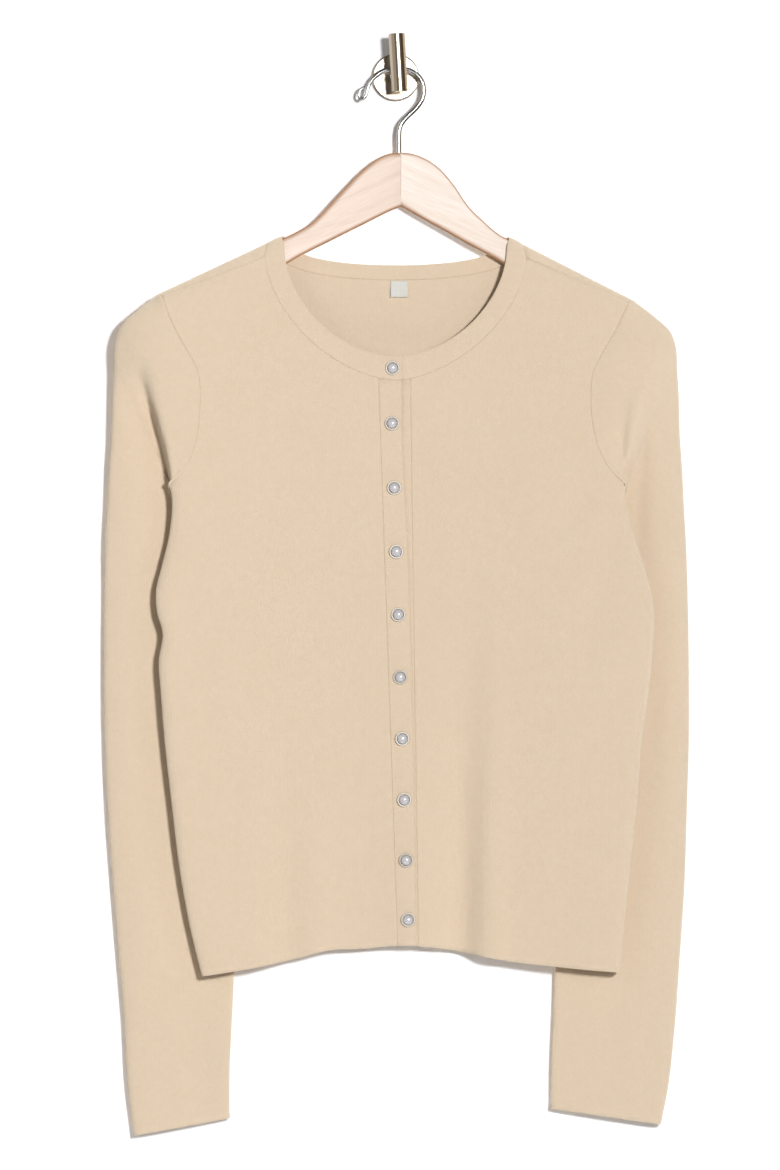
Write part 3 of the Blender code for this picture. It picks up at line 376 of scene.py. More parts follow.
def ridge_z(x):
    """Height of the top line of the shoulders."""
    side = side_of(x)
    return RIDGE_Z[side] - RIDGE_FALL[side] * (abs(x) - RIDGE_OUT)


def middle_depth(x, z):
    sweep = ARM_SWEEP * (abs(x) / ARM_REACH) ** SWEEP_POWER
    settle = HEM_SETTLE * smoothstep(-CHEST_Z, -HEM_Z, -z) * (1 - smoothstep(*SETTLE_FADE, abs(x)))
    return CENTRE_DEPTH - sweep + settle


def half_gap(x, z):
    centre = NECK_GAP + (HEM_GAP - NECK_GAP) * smoothstep(-CHEST_Z, -HEM_Z, -z)
    return centre + (SIDE_RADIUS - centre) * smoothstep(*SIDE_FADE, abs(x))


def layer_depth(x, z, layer):
    """Depth of the front or the back layer, rounded over the shoulders."""
    gap = half_gap(x, z)
    below = min(max((ridge_z(x) - z) / gap, 0.0), 1.0)
    arch = math.sqrt(1.0 - (1.0 - below) ** 2)
    folds = FRONT_FOLDS if layer == FRONT else BACK_FOLDS
    return middle_depth(x, z) + layer * gap * arch - fold_depth(x, z, folds)


def over_shoulder(x, angle):
    """A point of the fold over the shoulder, from -90 degrees in front to 90 behind."""
    turn = math.radians(angle)
    z = ridge_z(x) - half_gap(x, ridge_z(x)) * (1.0 - math.cos(turn))
    return np.array([x, middle_depth(x, z) + half_gap(x, z) * math.sin(turn), z])


def turned_corner(past):
    """How far out and how far back a fold has come, in shares of its depth."""
    flat = 1.0 - SIDE_CORNER
    run = past / (math.pi / 2) * (2 * flat + SIDE_CORNER * math.pi / 2)
    if run < flat:
        return run, 0.0
    turn = min((run - flat) / SIDE_CORNER, math.pi / 2)
    rest = max(run - flat - SIDE_CORNER * math.pi / 2, 0.0)
    return flat + SIDE_CORNER * math.sin(turn), SIDE_CORNER * (1 - math.cos(turn)) + rest


def wrapped(across, z, layer):
    """A point of the flat pattern laid on the body and round the fold down its side."""
    side = side_of(across)
    fold_x = side_curves[side](z) - SIDE_RADIUS
    past = (abs(across) - fold_x) / SIDE_RADIUS
    if past <= 0.0:
        drag = drag_depth(across, z, BODY_DRAGS) if layer == FRONT else 0.0
        return np.array([across, layer_depth(across, z, layer) - drag, z])
    out, in_depth = turned_corner(past)
    depth = layer_depth(side * fold_x, z, layer) - layer * SIDE_RADIUS * in_depth
    if layer == FRONT:
        depth -= drag_depth(side * fold_x, z, BODY_DRAGS) * max(0.0, 1.0 - past)
    return np.array([side * (fold_x + SIDE_RADIUS * out), depth, z])


print("depth at the left shoulder:", round(middle_depth(0.16, -0.2) * 1000, 1), "mm")

# %% Lines of the neck, the shoulders and the bands
SEAM_ANGLE = (-90.0, -46.0)  # of the shoulder seam on its fold, at the neck and at the sleeve
SEAM_NECK_Z = -0.2365  # "seam" lines join band and panel, "edge" lines are the free edge
EDGE_NECK_Z = -0.2176
SEAM_NECK_POWER = 1.7
EDGE_NECK_POWER = 1.85
BACK_NECK_POWER = 2.2
BACK_SEAM_NECK_Z = -0.1576
BACK_EDGE_NECK_Z = -0.1462
SEAM_OUTS = (0.1020, 0.0985, 0.0925)  # front, top and back of the shoulder fold
EDGE_OUTS = (0.0868, 0.0880, 0.0800)
SLEEVE_OUTS = (0.1775, 0.1846, 0.1850)
BAND_TOP_Z = -0.2350
BAND_LOW_Z = -0.6780
BAND_SEAM_X = {RIGHT: (-0.0133, 0.0018), LEFT: (0.0113, 0.0176)}  # each at its top and foot
TOP_BAND_EDGE = [
    PlaceRow(0.0046, -0.235), PlaceRow(0.0048, -0.290), PlaceRow(0.0082, -0.350),
    PlaceRow(0.0108, -0.420), PlaceRow(0.0130, -0.500), PlaceRow(0.0158, -0.680),
]
UNDER_BAND_HIDDEN = 0.0030
NECKBAND_LAP_X = {RIGHT: 0.0048, LEFT: -0.0105}
band_edge_x = x_at_z(TOP_BAND_EDGE)


def strip_out(outs, angle):
    """Distance from the centre line on the shoulder fold, from its front, top and back."""
    return curve_through((-90.0, 0.0, 90.0), outs)(angle)


def line_x(pair, z):
    return lerp(pair, (BAND_TOP_Z - z) / (BAND_TOP_Z - BAND_LOW_Z))


def neck_line(turn, side, outs, low_z, power):
    """A point (x, z) of a front neck line: 0 degrees at the shoulder, 90 at the centre."""
    turn = math.radians(turn)
    high_z = over_shoulder(side * outs[0], -90.0)[2]
    across = math.copysign(abs(math.cos(turn)) ** (2 / power), math.cos(turn))
    return side * outs[0] * across, high_z + (low_z - high_z) * abs(math.sin(turn)) ** (2 / power)


def back_neck_line(turn, side, outs, low_z):
    """A point (x, z) of a back neck line: 0 degrees at the shoulder, 90 at the centre."""
    turn = math.radians(turn)
    power = 2 / BACK_NECK_POWER
    high_z = over_shoulder(side * outs[2], 90.0)[2]
    x = side * outs[2] * max(math.cos(turn), 0.0) ** power
    return x, high_z + (low_z - high_z) * math.sin(turn) ** power


def turn_at(x, side):
    """The angle at which the front neck seam crosses the given x."""
    share = side * x / SEAM_OUTS[0]
    return math.degrees(math.acos(math.copysign(abs(share) ** (SEAM_NECK_POWER / 2), share)))


def corner_turn(side):
    """The angle at which the front neck seam meets the seam of the button band."""
    return turn_at(line_x(BAND_SEAM_X[side], BAND_TOP_Z), side)


print("neck seam at the centre:", SEAM_NECK_Z, "m, its band", SEAM_NECK_Z - EDGE_NECK_Z)

# %% [markdown]
# ## From outline to mesh
#
# A panel has four edges: the hem, the middle, the side with the armhole, and the top. A grid
# between them that is blended from all four keeps its rows and columns running the way the
# knitting does. Rows are 5 mm apart, close enough for a soft fold to bend smoothly, and one
# more row lies just inside each seam, so that the seam can sink as a real one does.

# %% Rows and columns of the panels
STEP = 0.0052  # metres between rows and between columns
SEAM_STEP = 0.0013  # metres from a seam to the first row inside it
SHOULDER_HIDES = 0.0007  # a linked shoulder seam is flatter than the others by this
SEAM_SINK = 0.00012  # metres that a seam lies below the cloth beside it
UNDERARM_SHARE = 0.80  # of the rows
TOP_PULL_POWER = 5  # the higher, the nearer to the top the rows start to follow it
SIDE_PULL_POWER = 2
NECK_SHARE = 0.52  # of the columns, where the neck ends and the shoulder starts
HEM_NECK_SHARE = 0.66  # of the hem's half width, where that column ends
PANEL_WIDTH, PANEL_HEIGHT = 0.185, 0.540


def steps_between(marks, length, seams):
    """Shares from mark to mark at even steps, with one more just inside a seamed end."""
    shares = [marks[0]]
    for low, high in zip(marks, marks[1:]):
        count = max(1, round((high - low) * length / STEP))
        shares += [low + (high - low) * step / count for step in range(1, count + 1)]
    if seams[0]:
        shares.insert(1, marks[0] + SEAM_STEP / length)
    if seams[1]:
        shares.insert(-1, marks[-1] - SEAM_STEP / length)
    return np.array(shares)


def hem_shares(columns):
    """Where each column meets the hem, as a share of its half width."""
    return np.interp(columns, (0.0, NECK_SHARE, 1.0), (0.0, HEM_NECK_SHARE, 1.0))


ROWS = steps_between((0.0, UNDERARM_SHARE, 1.0), PANEL_HEIGHT, (False, True))
COLUMNS = steps_between((0.0, NECK_SHARE, 1.0), PANEL_WIDTH, (True, True))
HALF_COLUMNS = steps_between((0.0, NECK_SHARE, 1.0), PANEL_WIDTH, (False, True))
UNDERARM_ROW = int(np.argmin(np.abs(ROWS - UNDERARM_SHARE)))
STRIP_TURNS = 12
print("front panel:", len(ROWS), "rows,", len(COLUMNS), "columns")

# %% Edges of the panels
def side_boundary(side, layer):
    """Pattern points up the side seam and the armhole, one for each row."""
    hem_corner = hem_z(side * side_curves[side](HEM_Z))
    quarter_turn = SIDE_RADIUS * math.pi / 2
    seam = []
    for share in ROWS[:UNDERARM_ROW + 1]:
        z = lerp((hem_corner, UNDERARM_Z), share / UNDERARM_SHARE)
        across = side_curves[side](z) - SIDE_RADIUS + quarter_turn - ROUND_GAP / 2
        seam.append((side * across, z))
    extra = side_curves[side](UNDERARM_Z) - side_curves[RIGHT](UNDERARM_Z)
    armhole = [seam[-1]]
    for row in FRONT_ARMHOLE if layer == FRONT else BACK_ARMHOLE:
        ease = extra * smoothstep(*UNDERARM_EASE, -row.z)
        armhole.append((side * (row.x + ease), row.z))
    armhole.append(shoulder_point(side, layer, 1.0)[[0, 2]])
    shares = (ROWS[UNDERARM_ROW + 1:] - UNDERARM_SHARE) / (1 - UNDERARM_SHARE)
    return np.array(seam + list(along(armhole, shares)))


def across_shoulder(side, share, angle):
    """A point of the fold over the shoulder, 0 at the neck and 1 at the sleeve."""
    outs = (strip_out(SEAM_OUTS, angle), strip_out(SLEEVE_OUTS, angle))
    return over_shoulder(side * lerp(outs, share), angle)


def shoulder_point(side, layer, share):
    """A point where the front or the back panel ends at the shoulder."""
    return across_shoulder(side, share, 90.0 if layer == BACK else lerp(SEAM_ANGLE, share))


def strip_point(side, share, turn):
    """A point of the strip that carries the back over the shoulder to the seam."""
    end = lerp(SEAM_ANGLE, share) + math.degrees(SHOULDER_GAP / NECK_GAP)
    return across_shoulder(side, share, lerp((90.0, end), turn))


def patch(bottom, top, start, end, pull):
    """A grid of pattern points between four boundaries, blended from all of them."""
    u = np.asarray(pull)[None, :, None]
    v = ROWS[:, None, None] ** TOP_PULL_POWER
    bottom, top = np.asarray(bottom)[None], np.asarray(top)[None]
    start, end = np.asarray(start)[:, None], np.asarray(end)[:, None]
    low = (1 - u) * bottom[:, :1] + u * bottom[:, -1:]
    high = (1 - u) * top[:, :1] + u * top[:, -1:]
    return (1 - v) * (bottom - low) + v * (top - high) + (1 - u) * start + u * end


print("armhole top:", np.round(shoulder_point(RIGHT, FRONT, 1.0) * 1000, 1), "mm")

# %% Measures on a grid of points
def distance_in(grid, axis, from_end):
    """For each point, the distance along its row or column to one end of it."""
    lines = np.flip(grid, axis) if from_end else grid
    steps = np.linalg.norm(np.diff(lines, axis=axis), axis=2)
    total = np.cumsum(steps, axis=axis)
    zero = np.zeros_like(np.take(total, [0], axis=axis))
    total = np.concatenate([zero, total], axis=axis)
    return np.flip(total, axis) if from_end else total


def seam_distance(grid, seams):
    """Distance to the nearest seamed edge: seams names any of low, high, start and end."""
    edges = {"low": (0, False), "high": (0, True), "start": (1, False), "end": (1, True)}
    return np.min([distance_in(grid, *edges[name]) for name in seams], axis=0)


def grid_normals(grid, closed, sign):
    """A direction square to the grid at each point, turned to the other side by its sign."""
    if closed:
        across = np.roll(grid, -1, axis=1) - np.roll(grid, 1, axis=1)
    else:
        across = np.gradient(grid, axis=1)
    normal = np.cross(across, np.gradient(grid, axis=0))
    normal /= np.linalg.norm(normal, axis=2)[..., None] + 1e-12
    return normal * sign


def sunk(grid, seam, normals):
    """The grid with its seams pressed a little back from where the normals point."""
    share = np.clip(1.0 - seam / SEAM_STEP, 0.0, 1.0)
    return grid - normals * (share * SEAM_SINK)[..., None]


print("a seam is pressed by", round(SEAM_SINK * 1000, 2), "mm")

# %% Turning a grid into a shell of cloth
Cut = namedtuple("Cut", "width length area")  # the flat piece before it is sewn, in metres


def grid_faces(rows, columns, closed=False):
    faces = []
    for row in range(rows - 1):
        for column in range(columns if closed else columns - 1):
            here = row * columns + column
            beside = row * columns + (column + 1) % columns
            faces.append((here, beside, beside + columns, here + columns))
    return faces


def new_object(name, data):
    made = bpy.data.objects.new(name, data)
    bpy.context.scene.collection.objects.link(made)
    return made


def only(made):
    """Makes a piece the only one selected, which is what an operator then acts on."""
    bpy.ops.object.select_all(action="DESELECT")
    bpy.context.view_layer.objects.active = made
    made.select_set(True)
    return made


def cloth_object(name, points, faces, uvs, seam, wall=WALL):
    """A sheet mesh with its UV map and seam distances, thickened to a wall of cloth."""
    mesh = bpy.data.meshes.new(name)
    mesh.from_pydata([tuple(point) for point in points], [], faces)
    layer = mesh.uv_layers.new(name="cloth")
    corners = np.zeros(len(mesh.loops), dtype=np.int32)
    mesh.loops.foreach_get("vertex_index", corners)
    layer.data.foreach_set("uv", np.asarray(uvs, float)[corners].reshape(-1))
    mesh.attributes.new("seam", "FLOAT", "POINT").data.foreach_set("value", seam)
    mesh.shade_smooth()
    made = only(new_object(name, mesh))
    thicken = made.modifiers.new("wall", "SOLIDIFY")
    thicken.thickness = wall
    thicken.offset = 0.0
    bpy.ops.object.modifier_apply(modifier=thicken.name)
    return made


def dress(made, finish, slot, *nodes):
    """Gives a piece its finish, unless it has one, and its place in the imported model."""
    if finish:
        made.data.materials.clear()
        made.data.materials.append(finish)
    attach(made, "root")
    if nodes:
        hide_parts(*nodes)
    return made


def triangles(made):
    return sum(len(face.vertices) - 2 for face in made.data.polygons)


def knit_piece(node, shell, flat, seam, faces=None, closed=False, flipped=False):
    """Makes the knitted shell of a node, with the flat piece that it was cut as for its UV map."""
    if faces is None:
        faces = grid_faces(*shell.shape[:2], closed)
    if flipped:
        faces = [face[::-1] for face in faces]
    made = cloth_object(f"knit_{node}", shell.reshape(-1, 3), faces, flat.reshape(-1, 2),
                        seam.reshape(-1))
    dress(made, cream_knit, "knit", node)
    print(made.name, triangles(made), "triangles")


print("a wall of cloth is", WALL * 1000, "mm thick")

# %% [markdown]
# ## The two fronts
#
# Each front runs from its button band to the side seam. The right front lies over the left
# one at the middle, so it eases forward towards its band and the left one eases back.

# %% Fronts
def lap_depth(x, z, side):
    """How far the right front eases forward to lap over the left one, which eases back."""
    past_seam = side * (x - line_x(BAND_SEAM_X[side], z))
    return side * PLY / 2 * (1 - smoothstep(0.0, LAP_FADE, past_seam))


def front_pattern(side):
    """The front as a grid of pattern points (x, z)."""
    end = side_boundary(side, FRONT)
    top = []
    for share in COLUMNS:
        if share <= NECK_SHARE:
            turn = corner_turn(side) * (1 - share / NECK_SHARE)
            top.append(neck_line(turn, side, SEAM_OUTS, SEAM_NECK_Z, SEAM_NECK_POWER))
        else:
            over = (share - NECK_SHARE) / (1 - NECK_SHARE)
            top.append(tuple(shoulder_point(side, FRONT, over)[[0, 2]]))
    low_x = line_x(BAND_SEAM_X[side], BAND_LOW_Z)
    across = [lerp((low_x, end[0][0]), share) for share in hem_shares(COLUMNS)]
    bottom = [(x, hem_z(x)) for x in across]
    bottom[-1] = tuple(end[0])
    start = [(lerp((low_x, top[0][0]), share), lerp((bottom[0][1], top[0][1]), share))
             for share in ROWS]
    return patch(bottom, top, start, end, COLUMNS**SIDE_PULL_POWER)


def front_grid(side):
    pattern = front_pattern(side)
    grid = np.array([[wrapped(*point, FRONT) for point in row] for row in pattern])
    for point in grid.reshape(-1, 3):
        point[1] += lap_depth(point[0], point[2], side)
    return grid, pattern


fronts = {}
for side, name in SIDES.items():
    grid, pattern = front_grid(side)
    fronts[side] = grid
    seam = seam_distance(grid, ("start", "end"))
    top_seam = distance_in(grid, 0, True)
    top_seam[:, COLUMNS > NECK_SHARE] += SHOULDER_HIDES
    seam = np.minimum(seam, top_seam)
    shell = sunk(grid, seam, grid_normals(grid, False, side))
    knit_piece(f"front_{name}", shell, pattern, seam, flipped=side == RIGHT)

# %% [markdown]
# ## The back
#
# The back is one panel that carries on over both shoulders, to seams a little forward of the
# top line. That is how a knitter hides the shoulder seam, and it takes the load of the
# sleeves. The panel and its two strips are one mesh that shares a row of points.

# %% Pattern of the back
STRIP_LENGTH = 0.024  # from the back of the shoulder to the seam


def back_pattern():
    """The back as a grid of pattern points (x, z)."""
    columns = np.concatenate([-HALF_COLUMNS[:0:-1], HALF_COLUMNS])
    start, end = side_boundary(RIGHT, BACK), side_boundary(LEFT, BACK)
    top, bottom = [], []
    for share in columns:
        side = side_of(share)
        if abs(share) <= NECK_SHARE:
            turn = 90.0 * (1 - abs(share) / NECK_SHARE)
            top.append(back_neck_line(turn, side, SEAM_OUTS, BACK_SEAM_NECK_Z))
        else:
            over = (abs(share) - NECK_SHARE) / (1 - NECK_SHARE)
            top.append(tuple(shoulder_point(side, BACK, over)[[0, 2]]))
        corner = end[0] if side == LEFT else start[0]
        across = float(hem_shares(abs(share))) * corner[0]
        bottom.append((across, hem_z(across)))
    bottom[0], bottom[-1] = tuple(start[0]), tuple(end[0])
    pull = (1 + np.sign(columns) * np.abs(columns) ** SIDE_PULL_POWER) / 2
    return patch(bottom, top, start, end, pull)


def shoulder_shares():
    """Places across the shoulder for the columns past the neck: 0 at the neck, 1 outside."""
    over = HALF_COLUMNS[HALF_COLUMNS >= NECK_SHARE - 1e-9]
    return (over - NECK_SHARE) / (1 - NECK_SHARE)


def strip_rows(side):
    turns = list(np.linspace(0.0, 1.0, STRIP_TURNS + 1)[1:])
    turns.insert(-1, 1.0 - SEAM_STEP / STRIP_LENGTH)
    return np.array([[strip_point(side, share, turn) for share in shoulder_shares()]
                     for turn in turns])


print("points across each shoulder strip:", len(shoulder_shares()))

# %% Back with its shoulder strips
pattern = back_pattern()
back = np.array([[wrapped(*point, BACK) for point in row] for row in pattern])
rows, columns = back.shape[:2]
width = len(shoulder_shares())
seam = seam_distance(back, ("start", "end"))
neck_columns = np.arange(width - 1, columns - width + 1)
neck_seam = distance_in(back, 0, True)
seam[:, neck_columns] = np.minimum(seam[:, neck_columns], neck_seam[:, neck_columns])
shell = sunk(back, seam, grid_normals(back, False, -1.0))
points, faces = list(shell.reshape(-1, 3)), grid_faces(rows, columns)
uvs, seams = list(pattern.reshape(-1, 2)), list(seam.reshape(-1))
for side in (RIGHT, LEFT):
    first = (rows - 1) * columns + (width - 1 if side == RIGHT else columns - width)
    below = [first + int(side) * column for column in range(width)]
    strip = strip_rows(side)
    joined = np.concatenate([np.array([points[index] for index in below])[None], strip])
    run = distance_in(joined, 0, False)
    strip_seam = seam_distance(strip, ("start", "end"))
    strip_seam = np.minimum(strip_seam, distance_in(strip, 0, True) + SHOULDER_HIDES)
    normals = grid_normals(joined, False, -side)[1:]
    lower_uv = [uvs[index] for index in below]
    for number, line in enumerate(sunk(strip, strip_seam, normals)):
        above = list(range(len(points), len(points) + width))
        points.extend(line)
        seams.extend(strip_seam[number])
        uvs.extend([(uv[0], uv[1] + up) for uv, up in zip(lower_uv, run[number + 1])])
        for column in range(width - 1):
            quad = (below[column], below[column + 1], above[column + 1], above[column])
            faces.append(quad if side == LEFT else quad[::-1])
        below = above
knit_piece("back", np.array(points), np.array(uvs), np.array(seams),
           faces=faces, flipped=True)

# %% [markdown]
# ## The sleeves
#
# A sleeve is a flattened tube. It leaves the armhole in the body's own direction, turns down
# behind the body at the underarm, and hangs with a little of its width hidden. Rings round
# the cap and the arm hold the outline; between them a smooth curve gives the length.

# %% Tables of the sleeves
# A cap ring has an outer place, an inner one measured from the underarm, the depths of its
# front and back, and the share by which it has left the armhole's own shape.
CapRing = namedtuple(
    "CapRing", "blend out_x out_z out_y in_out in_down in_y bow front_y back_y"
)
CAP_RINGS = [
    CapRing(0.35, 0.1990, -0.1790, -0.0325, 0.0024, -0.0060, -0.0320, 0.016, -0.0440, -0.0230),
    CapRing(0.80, 0.2070, -0.1866, -0.0302, 0.0022, 0.0000, -0.0265, 0.010, -0.0436, -0.0200),
    CapRing(1.00, 0.2148, -0.1962, -0.0270, 0.0015, 0.0042, -0.0205, 0.003, -0.0375, -0.0160),
    CapRing(1.00, 0.2180, -0.2075, -0.0240, -0.0015, 0.0090, -0.0165, 0.000, -0.0315, -0.0120),
    CapRing(1.00, 0.2190, -0.2240, -0.0212, -0.0080, 0.0150, -0.0135, 0.000, -0.0275, -0.0085),
    CapRing(1.00, 0.2204, -0.2492, -0.0186, -0.0170, 0.0240, -0.0115, 0.000, -0.0245, -0.0055),
    CapRing(1.00, 0.2211, -0.2777, -0.0168, -0.0280, 0.0350, -0.0105, 0.000, -0.0218, -0.0040),
    CapRing(1.00, 0.2232, -0.3065, -0.0153, -0.0390, 0.0470, -0.0105, 0.000, -0.0196, -0.0030),
    CapRing(1.00, 0.2245, -0.3320, -0.0138, -0.0480, 0.0620, -0.0105, 0.000, -0.0182, -0.0026),
    CapRing(1.00, 0.2264, -0.3640, -0.0125, -0.0555, 0.0780, -0.0105, 0.000, -0.0173, -0.0025),
]
SHOULDER_DROP = {RIGHT: 0.0, LEFT: 0.0045}  # the left sleeve's top lies lower
DROP_FADE = (-0.300, -0.180)
SLEEVE_MIDDLE = -0.0098
SLEEVE_FRONT = -0.0160
SLEEVE_BACK = -0.0025
SLEEVE_LEAN = 0.35  # how much fuller a ring is at its outer edge than at its inner one
RING_POWER = 0.42  # the lower, the squarer a ring
ArmRing = namedtuple("ArmRing", "out_x out_z in_x in_z")
ARM_RINGS = {
    RIGHT: [
        ArmRing(0.2270, -0.4020, 0.1150, -0.4120), ArmRing(0.2274, -0.4570, 0.1155, -0.4650),
        ArmRing(0.2266, -0.5210, 0.1172, -0.5270), ArmRing(0.2243, -0.5750, 0.1198, -0.5800),
        ArmRing(0.2200, -0.6334, 0.1230, -0.6360), ArmRing(0.2157, -0.6856, 0.1257, -0.6870),
        ArmRing(0.2113, -0.7379, 0.1279, -0.7350), ArmRing(0.2088, -0.7850, 0.1299, -0.7780),
        ArmRing(0.2038, -0.8262, 0.1299, -0.8128),
    ],
    LEFT: [
        ArmRing(0.2278, -0.4020, 0.1160, -0.4120), ArmRing(0.2287, -0.4570, 0.1170, -0.4650),
        ArmRing(0.2288, -0.5150, 0.1186, -0.5200), ArmRing(0.2272, -0.5700, 0.1210, -0.5730),
        ArmRing(0.2252, -0.6300, 0.1238, -0.6300), ArmRing(0.2214, -0.6880, 0.1244, -0.6860),
        ArmRing(0.2177, -0.7400, 0.1233, -0.7330), ArmRing(0.2125, -0.7880, 0.1217, -0.7730),
        ArmRing(0.2067, -0.8174, 0.1217, -0.8053),
    ],
}


print("cap rings:", len(CAP_RINGS), "arm rings:", len(ARM_RINGS[LEFT]))

# %% From the armhole to the first ring
CHORD_SHARE = 0.8  # how much a ring follows its height, against its length
UNDERARM_LEAVES = (0.9, 0.4)  # outward and up, where a sleeve leaves its underarm
LEAVING_ROUNDS = 8


def armhole_edges(side):
    """Points round the armhole from the top of the shoulder, and the points just inside."""
    turns = np.linspace(0.0, 1.0, STRIP_TURNS + 1)[1:]
    top = STRIP_TURNS // 2
    inside = shoulder_shares()[-3]
    strips = [[strip_point(side, share, turn) for turn in turns] for share in (1.0, inside)]
    front = fronts[side][UNDERARM_ROW:]
    behind = back[UNDERARM_ROW:] if side == LEFT else back[UNDERARM_ROW:, ::-1]
    loops = []
    for strip, column in zip(strips, (-1, -3)):
        at_front, at_back = front[:, column], behind[:, column]
        under = (at_front[0] + at_back[0]) / 2 if column == -1 else at_front[0]
        loops.append(strip[top:-1] + list(at_front[:0:-1]) + [under] + list(at_back[1:])
                     + strip[:top])
    return np.array(loops[0]), np.array(loops[1]), STRIP_TURNS - top - 1 + len(front) - 1


def ring_angles(loop, underarm):
    """An angle for each point of the loop: 0 at the shoulder, half a turn at the underarm."""
    chord = loop[underarm] - loop[0]
    shares = np.clip((loop - loop[0]) @ chord / (chord @ chord), 0.0, 1.0)
    angles = np.arccos(1 - 2 * shares)
    angles[underarm + 1:] = 2 * math.pi - angles[underarm + 1:]
    run = run_along(loop)
    last_step = run[-1] - run[-2]
    down = run[:underarm + 1] / run[underarm] * math.pi
    around = (run[underarm:] - run[underarm]) / (run[-1] - run[underarm] + last_step) * math.pi
    even = np.concatenate([down, math.pi + around[1:]])
    return CHORD_SHARE * angles + (1 - CHORD_SHARE) * even


def leaving_direction(edge, inner, underarm):
    """The body's own direction across the armhole's edge, smoothed round it."""
    tangent = np.roll(edge, -1, axis=0) - np.roll(edge, 1, axis=0)
    tangent /= np.linalg.norm(tangent, axis=1)[:, None]
    outward = edge - inner
    outward -= tangent * (outward * tangent).sum(axis=1)[:, None]
    outward /= np.linalg.norm(outward, axis=1)[:, None]
    out, up = UNDERARM_LEAVES
    outward[underarm] = (math.copysign(out, edge[underarm][0]), 0.0, up)
    for _ in range(LEAVING_ROUNDS):
        outward = (np.roll(outward, 1, axis=0) + 2 * outward + np.roll(outward, -1, axis=0)) / 4
    return outward / np.linalg.norm(outward, axis=1)[:, None]


print("points round an armhole:", len(armhole_edges(RIGHT)[0]))

# %% Rings of the sleeves
def sleeve_ring(outer, inner, front_y, back_y, angles, bow=0.0):
    """A flattened ring between an outer and an inner edge, its middle bowed sideways."""
    centre = (outer + inner) / 2
    front = np.array([centre[0] - bow, front_y, centre[2]])
    behind = np.array([centre[0] - bow, back_y, centre[2]])
    ring = []
    for angle in angles:
        bulge = abs(math.sin(angle)) ** RING_POWER * (1 + SLEEVE_LEAN * math.cos(angle))
        face = front if angle <= math.pi else behind
        ring.append(centre + (outer - centre) * math.cos(angle) + (face - centre) * bulge)
    return np.array(ring)


def sleeve_rings(side):
    """All rings of a sleeve from armhole to cuff, and the place of the underarm on them."""
    loop, inner_loop, underarm = armhole_edges(side)
    angles = ring_angles(loop, underarm)
    outward = leaving_direction(loop, inner_loop, underarm)
    rings = [loop + outward * ROUND_GAP, loop + outward * (ROUND_GAP + SEAM_LIFT)]
    underarm_out = side_curves[side](UNDERARM_Z)
    for row in CAP_RINGS:
        drop = SHOULDER_DROP[side] * smoothstep(*DROP_FADE, row.out_z)
        outer = np.array([side * row.out_x, row.out_y, row.out_z - drop])
        inner = np.array([side * (underarm_out + row.in_out), row.in_y, UNDERARM_Z - row.in_down])
        ring = sleeve_ring(outer, inner, row.front_y, row.back_y, angles, side * row.bow)
        rings.append(loop * (1 - row.blend) + ring * row.blend)
    for row in ARM_RINGS[side]:
        outer = np.array([side * row.out_x, SLEEVE_MIDDLE, row.out_z])
        inner = np.array([side * row.in_x, SLEEVE_MIDDLE, row.in_z])
        rings.append(sleeve_ring(outer, inner, SLEEVE_FRONT, SLEEVE_BACK, angles))
    return np.array(rings), underarm


print("rings of a sleeve:", len(sleeve_rings(RIGHT)[0]))

# %% Where a sleeve folds back behind the body
# The cap lies as far forward as the body's front, and the arm hangs behind the body's back.
# Between them the cloth drops off along a line that falls to the underarm.
FOLD_LINE = {
    RIGHT: [
        PlaceRow(0.1985, -0.2100), PlaceRow(0.1946, -0.2301), PlaceRow(0.1915, -0.2457),
        PlaceRow(0.1860, -0.2660), PlaceRow(0.1814, -0.2831), PlaceRow(0.1775, -0.2987),
        PlaceRow(0.1753, -0.3112), PlaceRow(0.1745, -0.3221),
    ],
    LEFT: [
        PlaceRow(0.1975, -0.2160), PlaceRow(0.1931, -0.2270), PlaceRow(0.1876, -0.2402),
        PlaceRow(0.1837, -0.2527), PlaceRow(0.1806, -0.2761), PlaceRow(0.1785, -0.2987),
        PlaceRow(0.1770, -0.3130), PlaceRow(0.1775, -0.3221),
    ],
}
# Shares down the line count from 0 at its top to 1 at the underarm.
FOLD_GROWS = {RIGHT: 0.55, LEFT: 0.72}  # share down the line where the drop has its full depth
FOLD_SOFT, FOLD_SHARP = 0.0070, 0.0012  # half width of the drop at the line's top and foot
FOLD_SHARPENS = 0.6  # share down the line where it is sharp
FOLD_REACH_IN, FOLD_REACH_OUT = 0.034, 0.022  # how far the drop shapes the cloth on each side
CAP_ENDS = (1.0, 1.05)  # shares down the line over which the body's level gives way
FOLD_ENDS = (1.15, 1.5)  # the same for the whole fold, below the underarm
# Share of the drop along the line and at its foot. The left sleeve rolls a little forward
# along the line, and turns down behind the body only at its foot.
FOLD_DROP = {RIGHT: (1.0, 1.0), LEFT: (-0.26, 0.42)}
FOOT_DROP = (0.70, 1.0)  # shares down the line between those two
ARM_LEVEL = -0.0146
OUTER_EASE, INNER_EASE = 0.18 * math.pi, 0.10 * math.pi  # the angles that keep a ring's edges
BEHIND_LEVEL = -0.0090
BEHIND_REACH = 0.030
BEHIND_STARTS = (-0.004, 0.010)  # metres inside the line


fold_curves = {side: x_at_z(rows) for side, rows in FOLD_LINE.items()}


def by_fold_line(side, point):
    """How far down the fold line a point lies, how far inside it, and the fold's share there."""
    top_z = FOLD_LINE[side][0].z
    down = (top_z - point[2]) / (top_z - UNDERARM_Z)
    inside = fold_curves[side](point[2]) - side * point[0]
    grown = smoothstep(0.0, FOLD_GROWS[side], down) * (1 - smoothstep(*FOLD_ENDS, down))
    return down, inside, grown


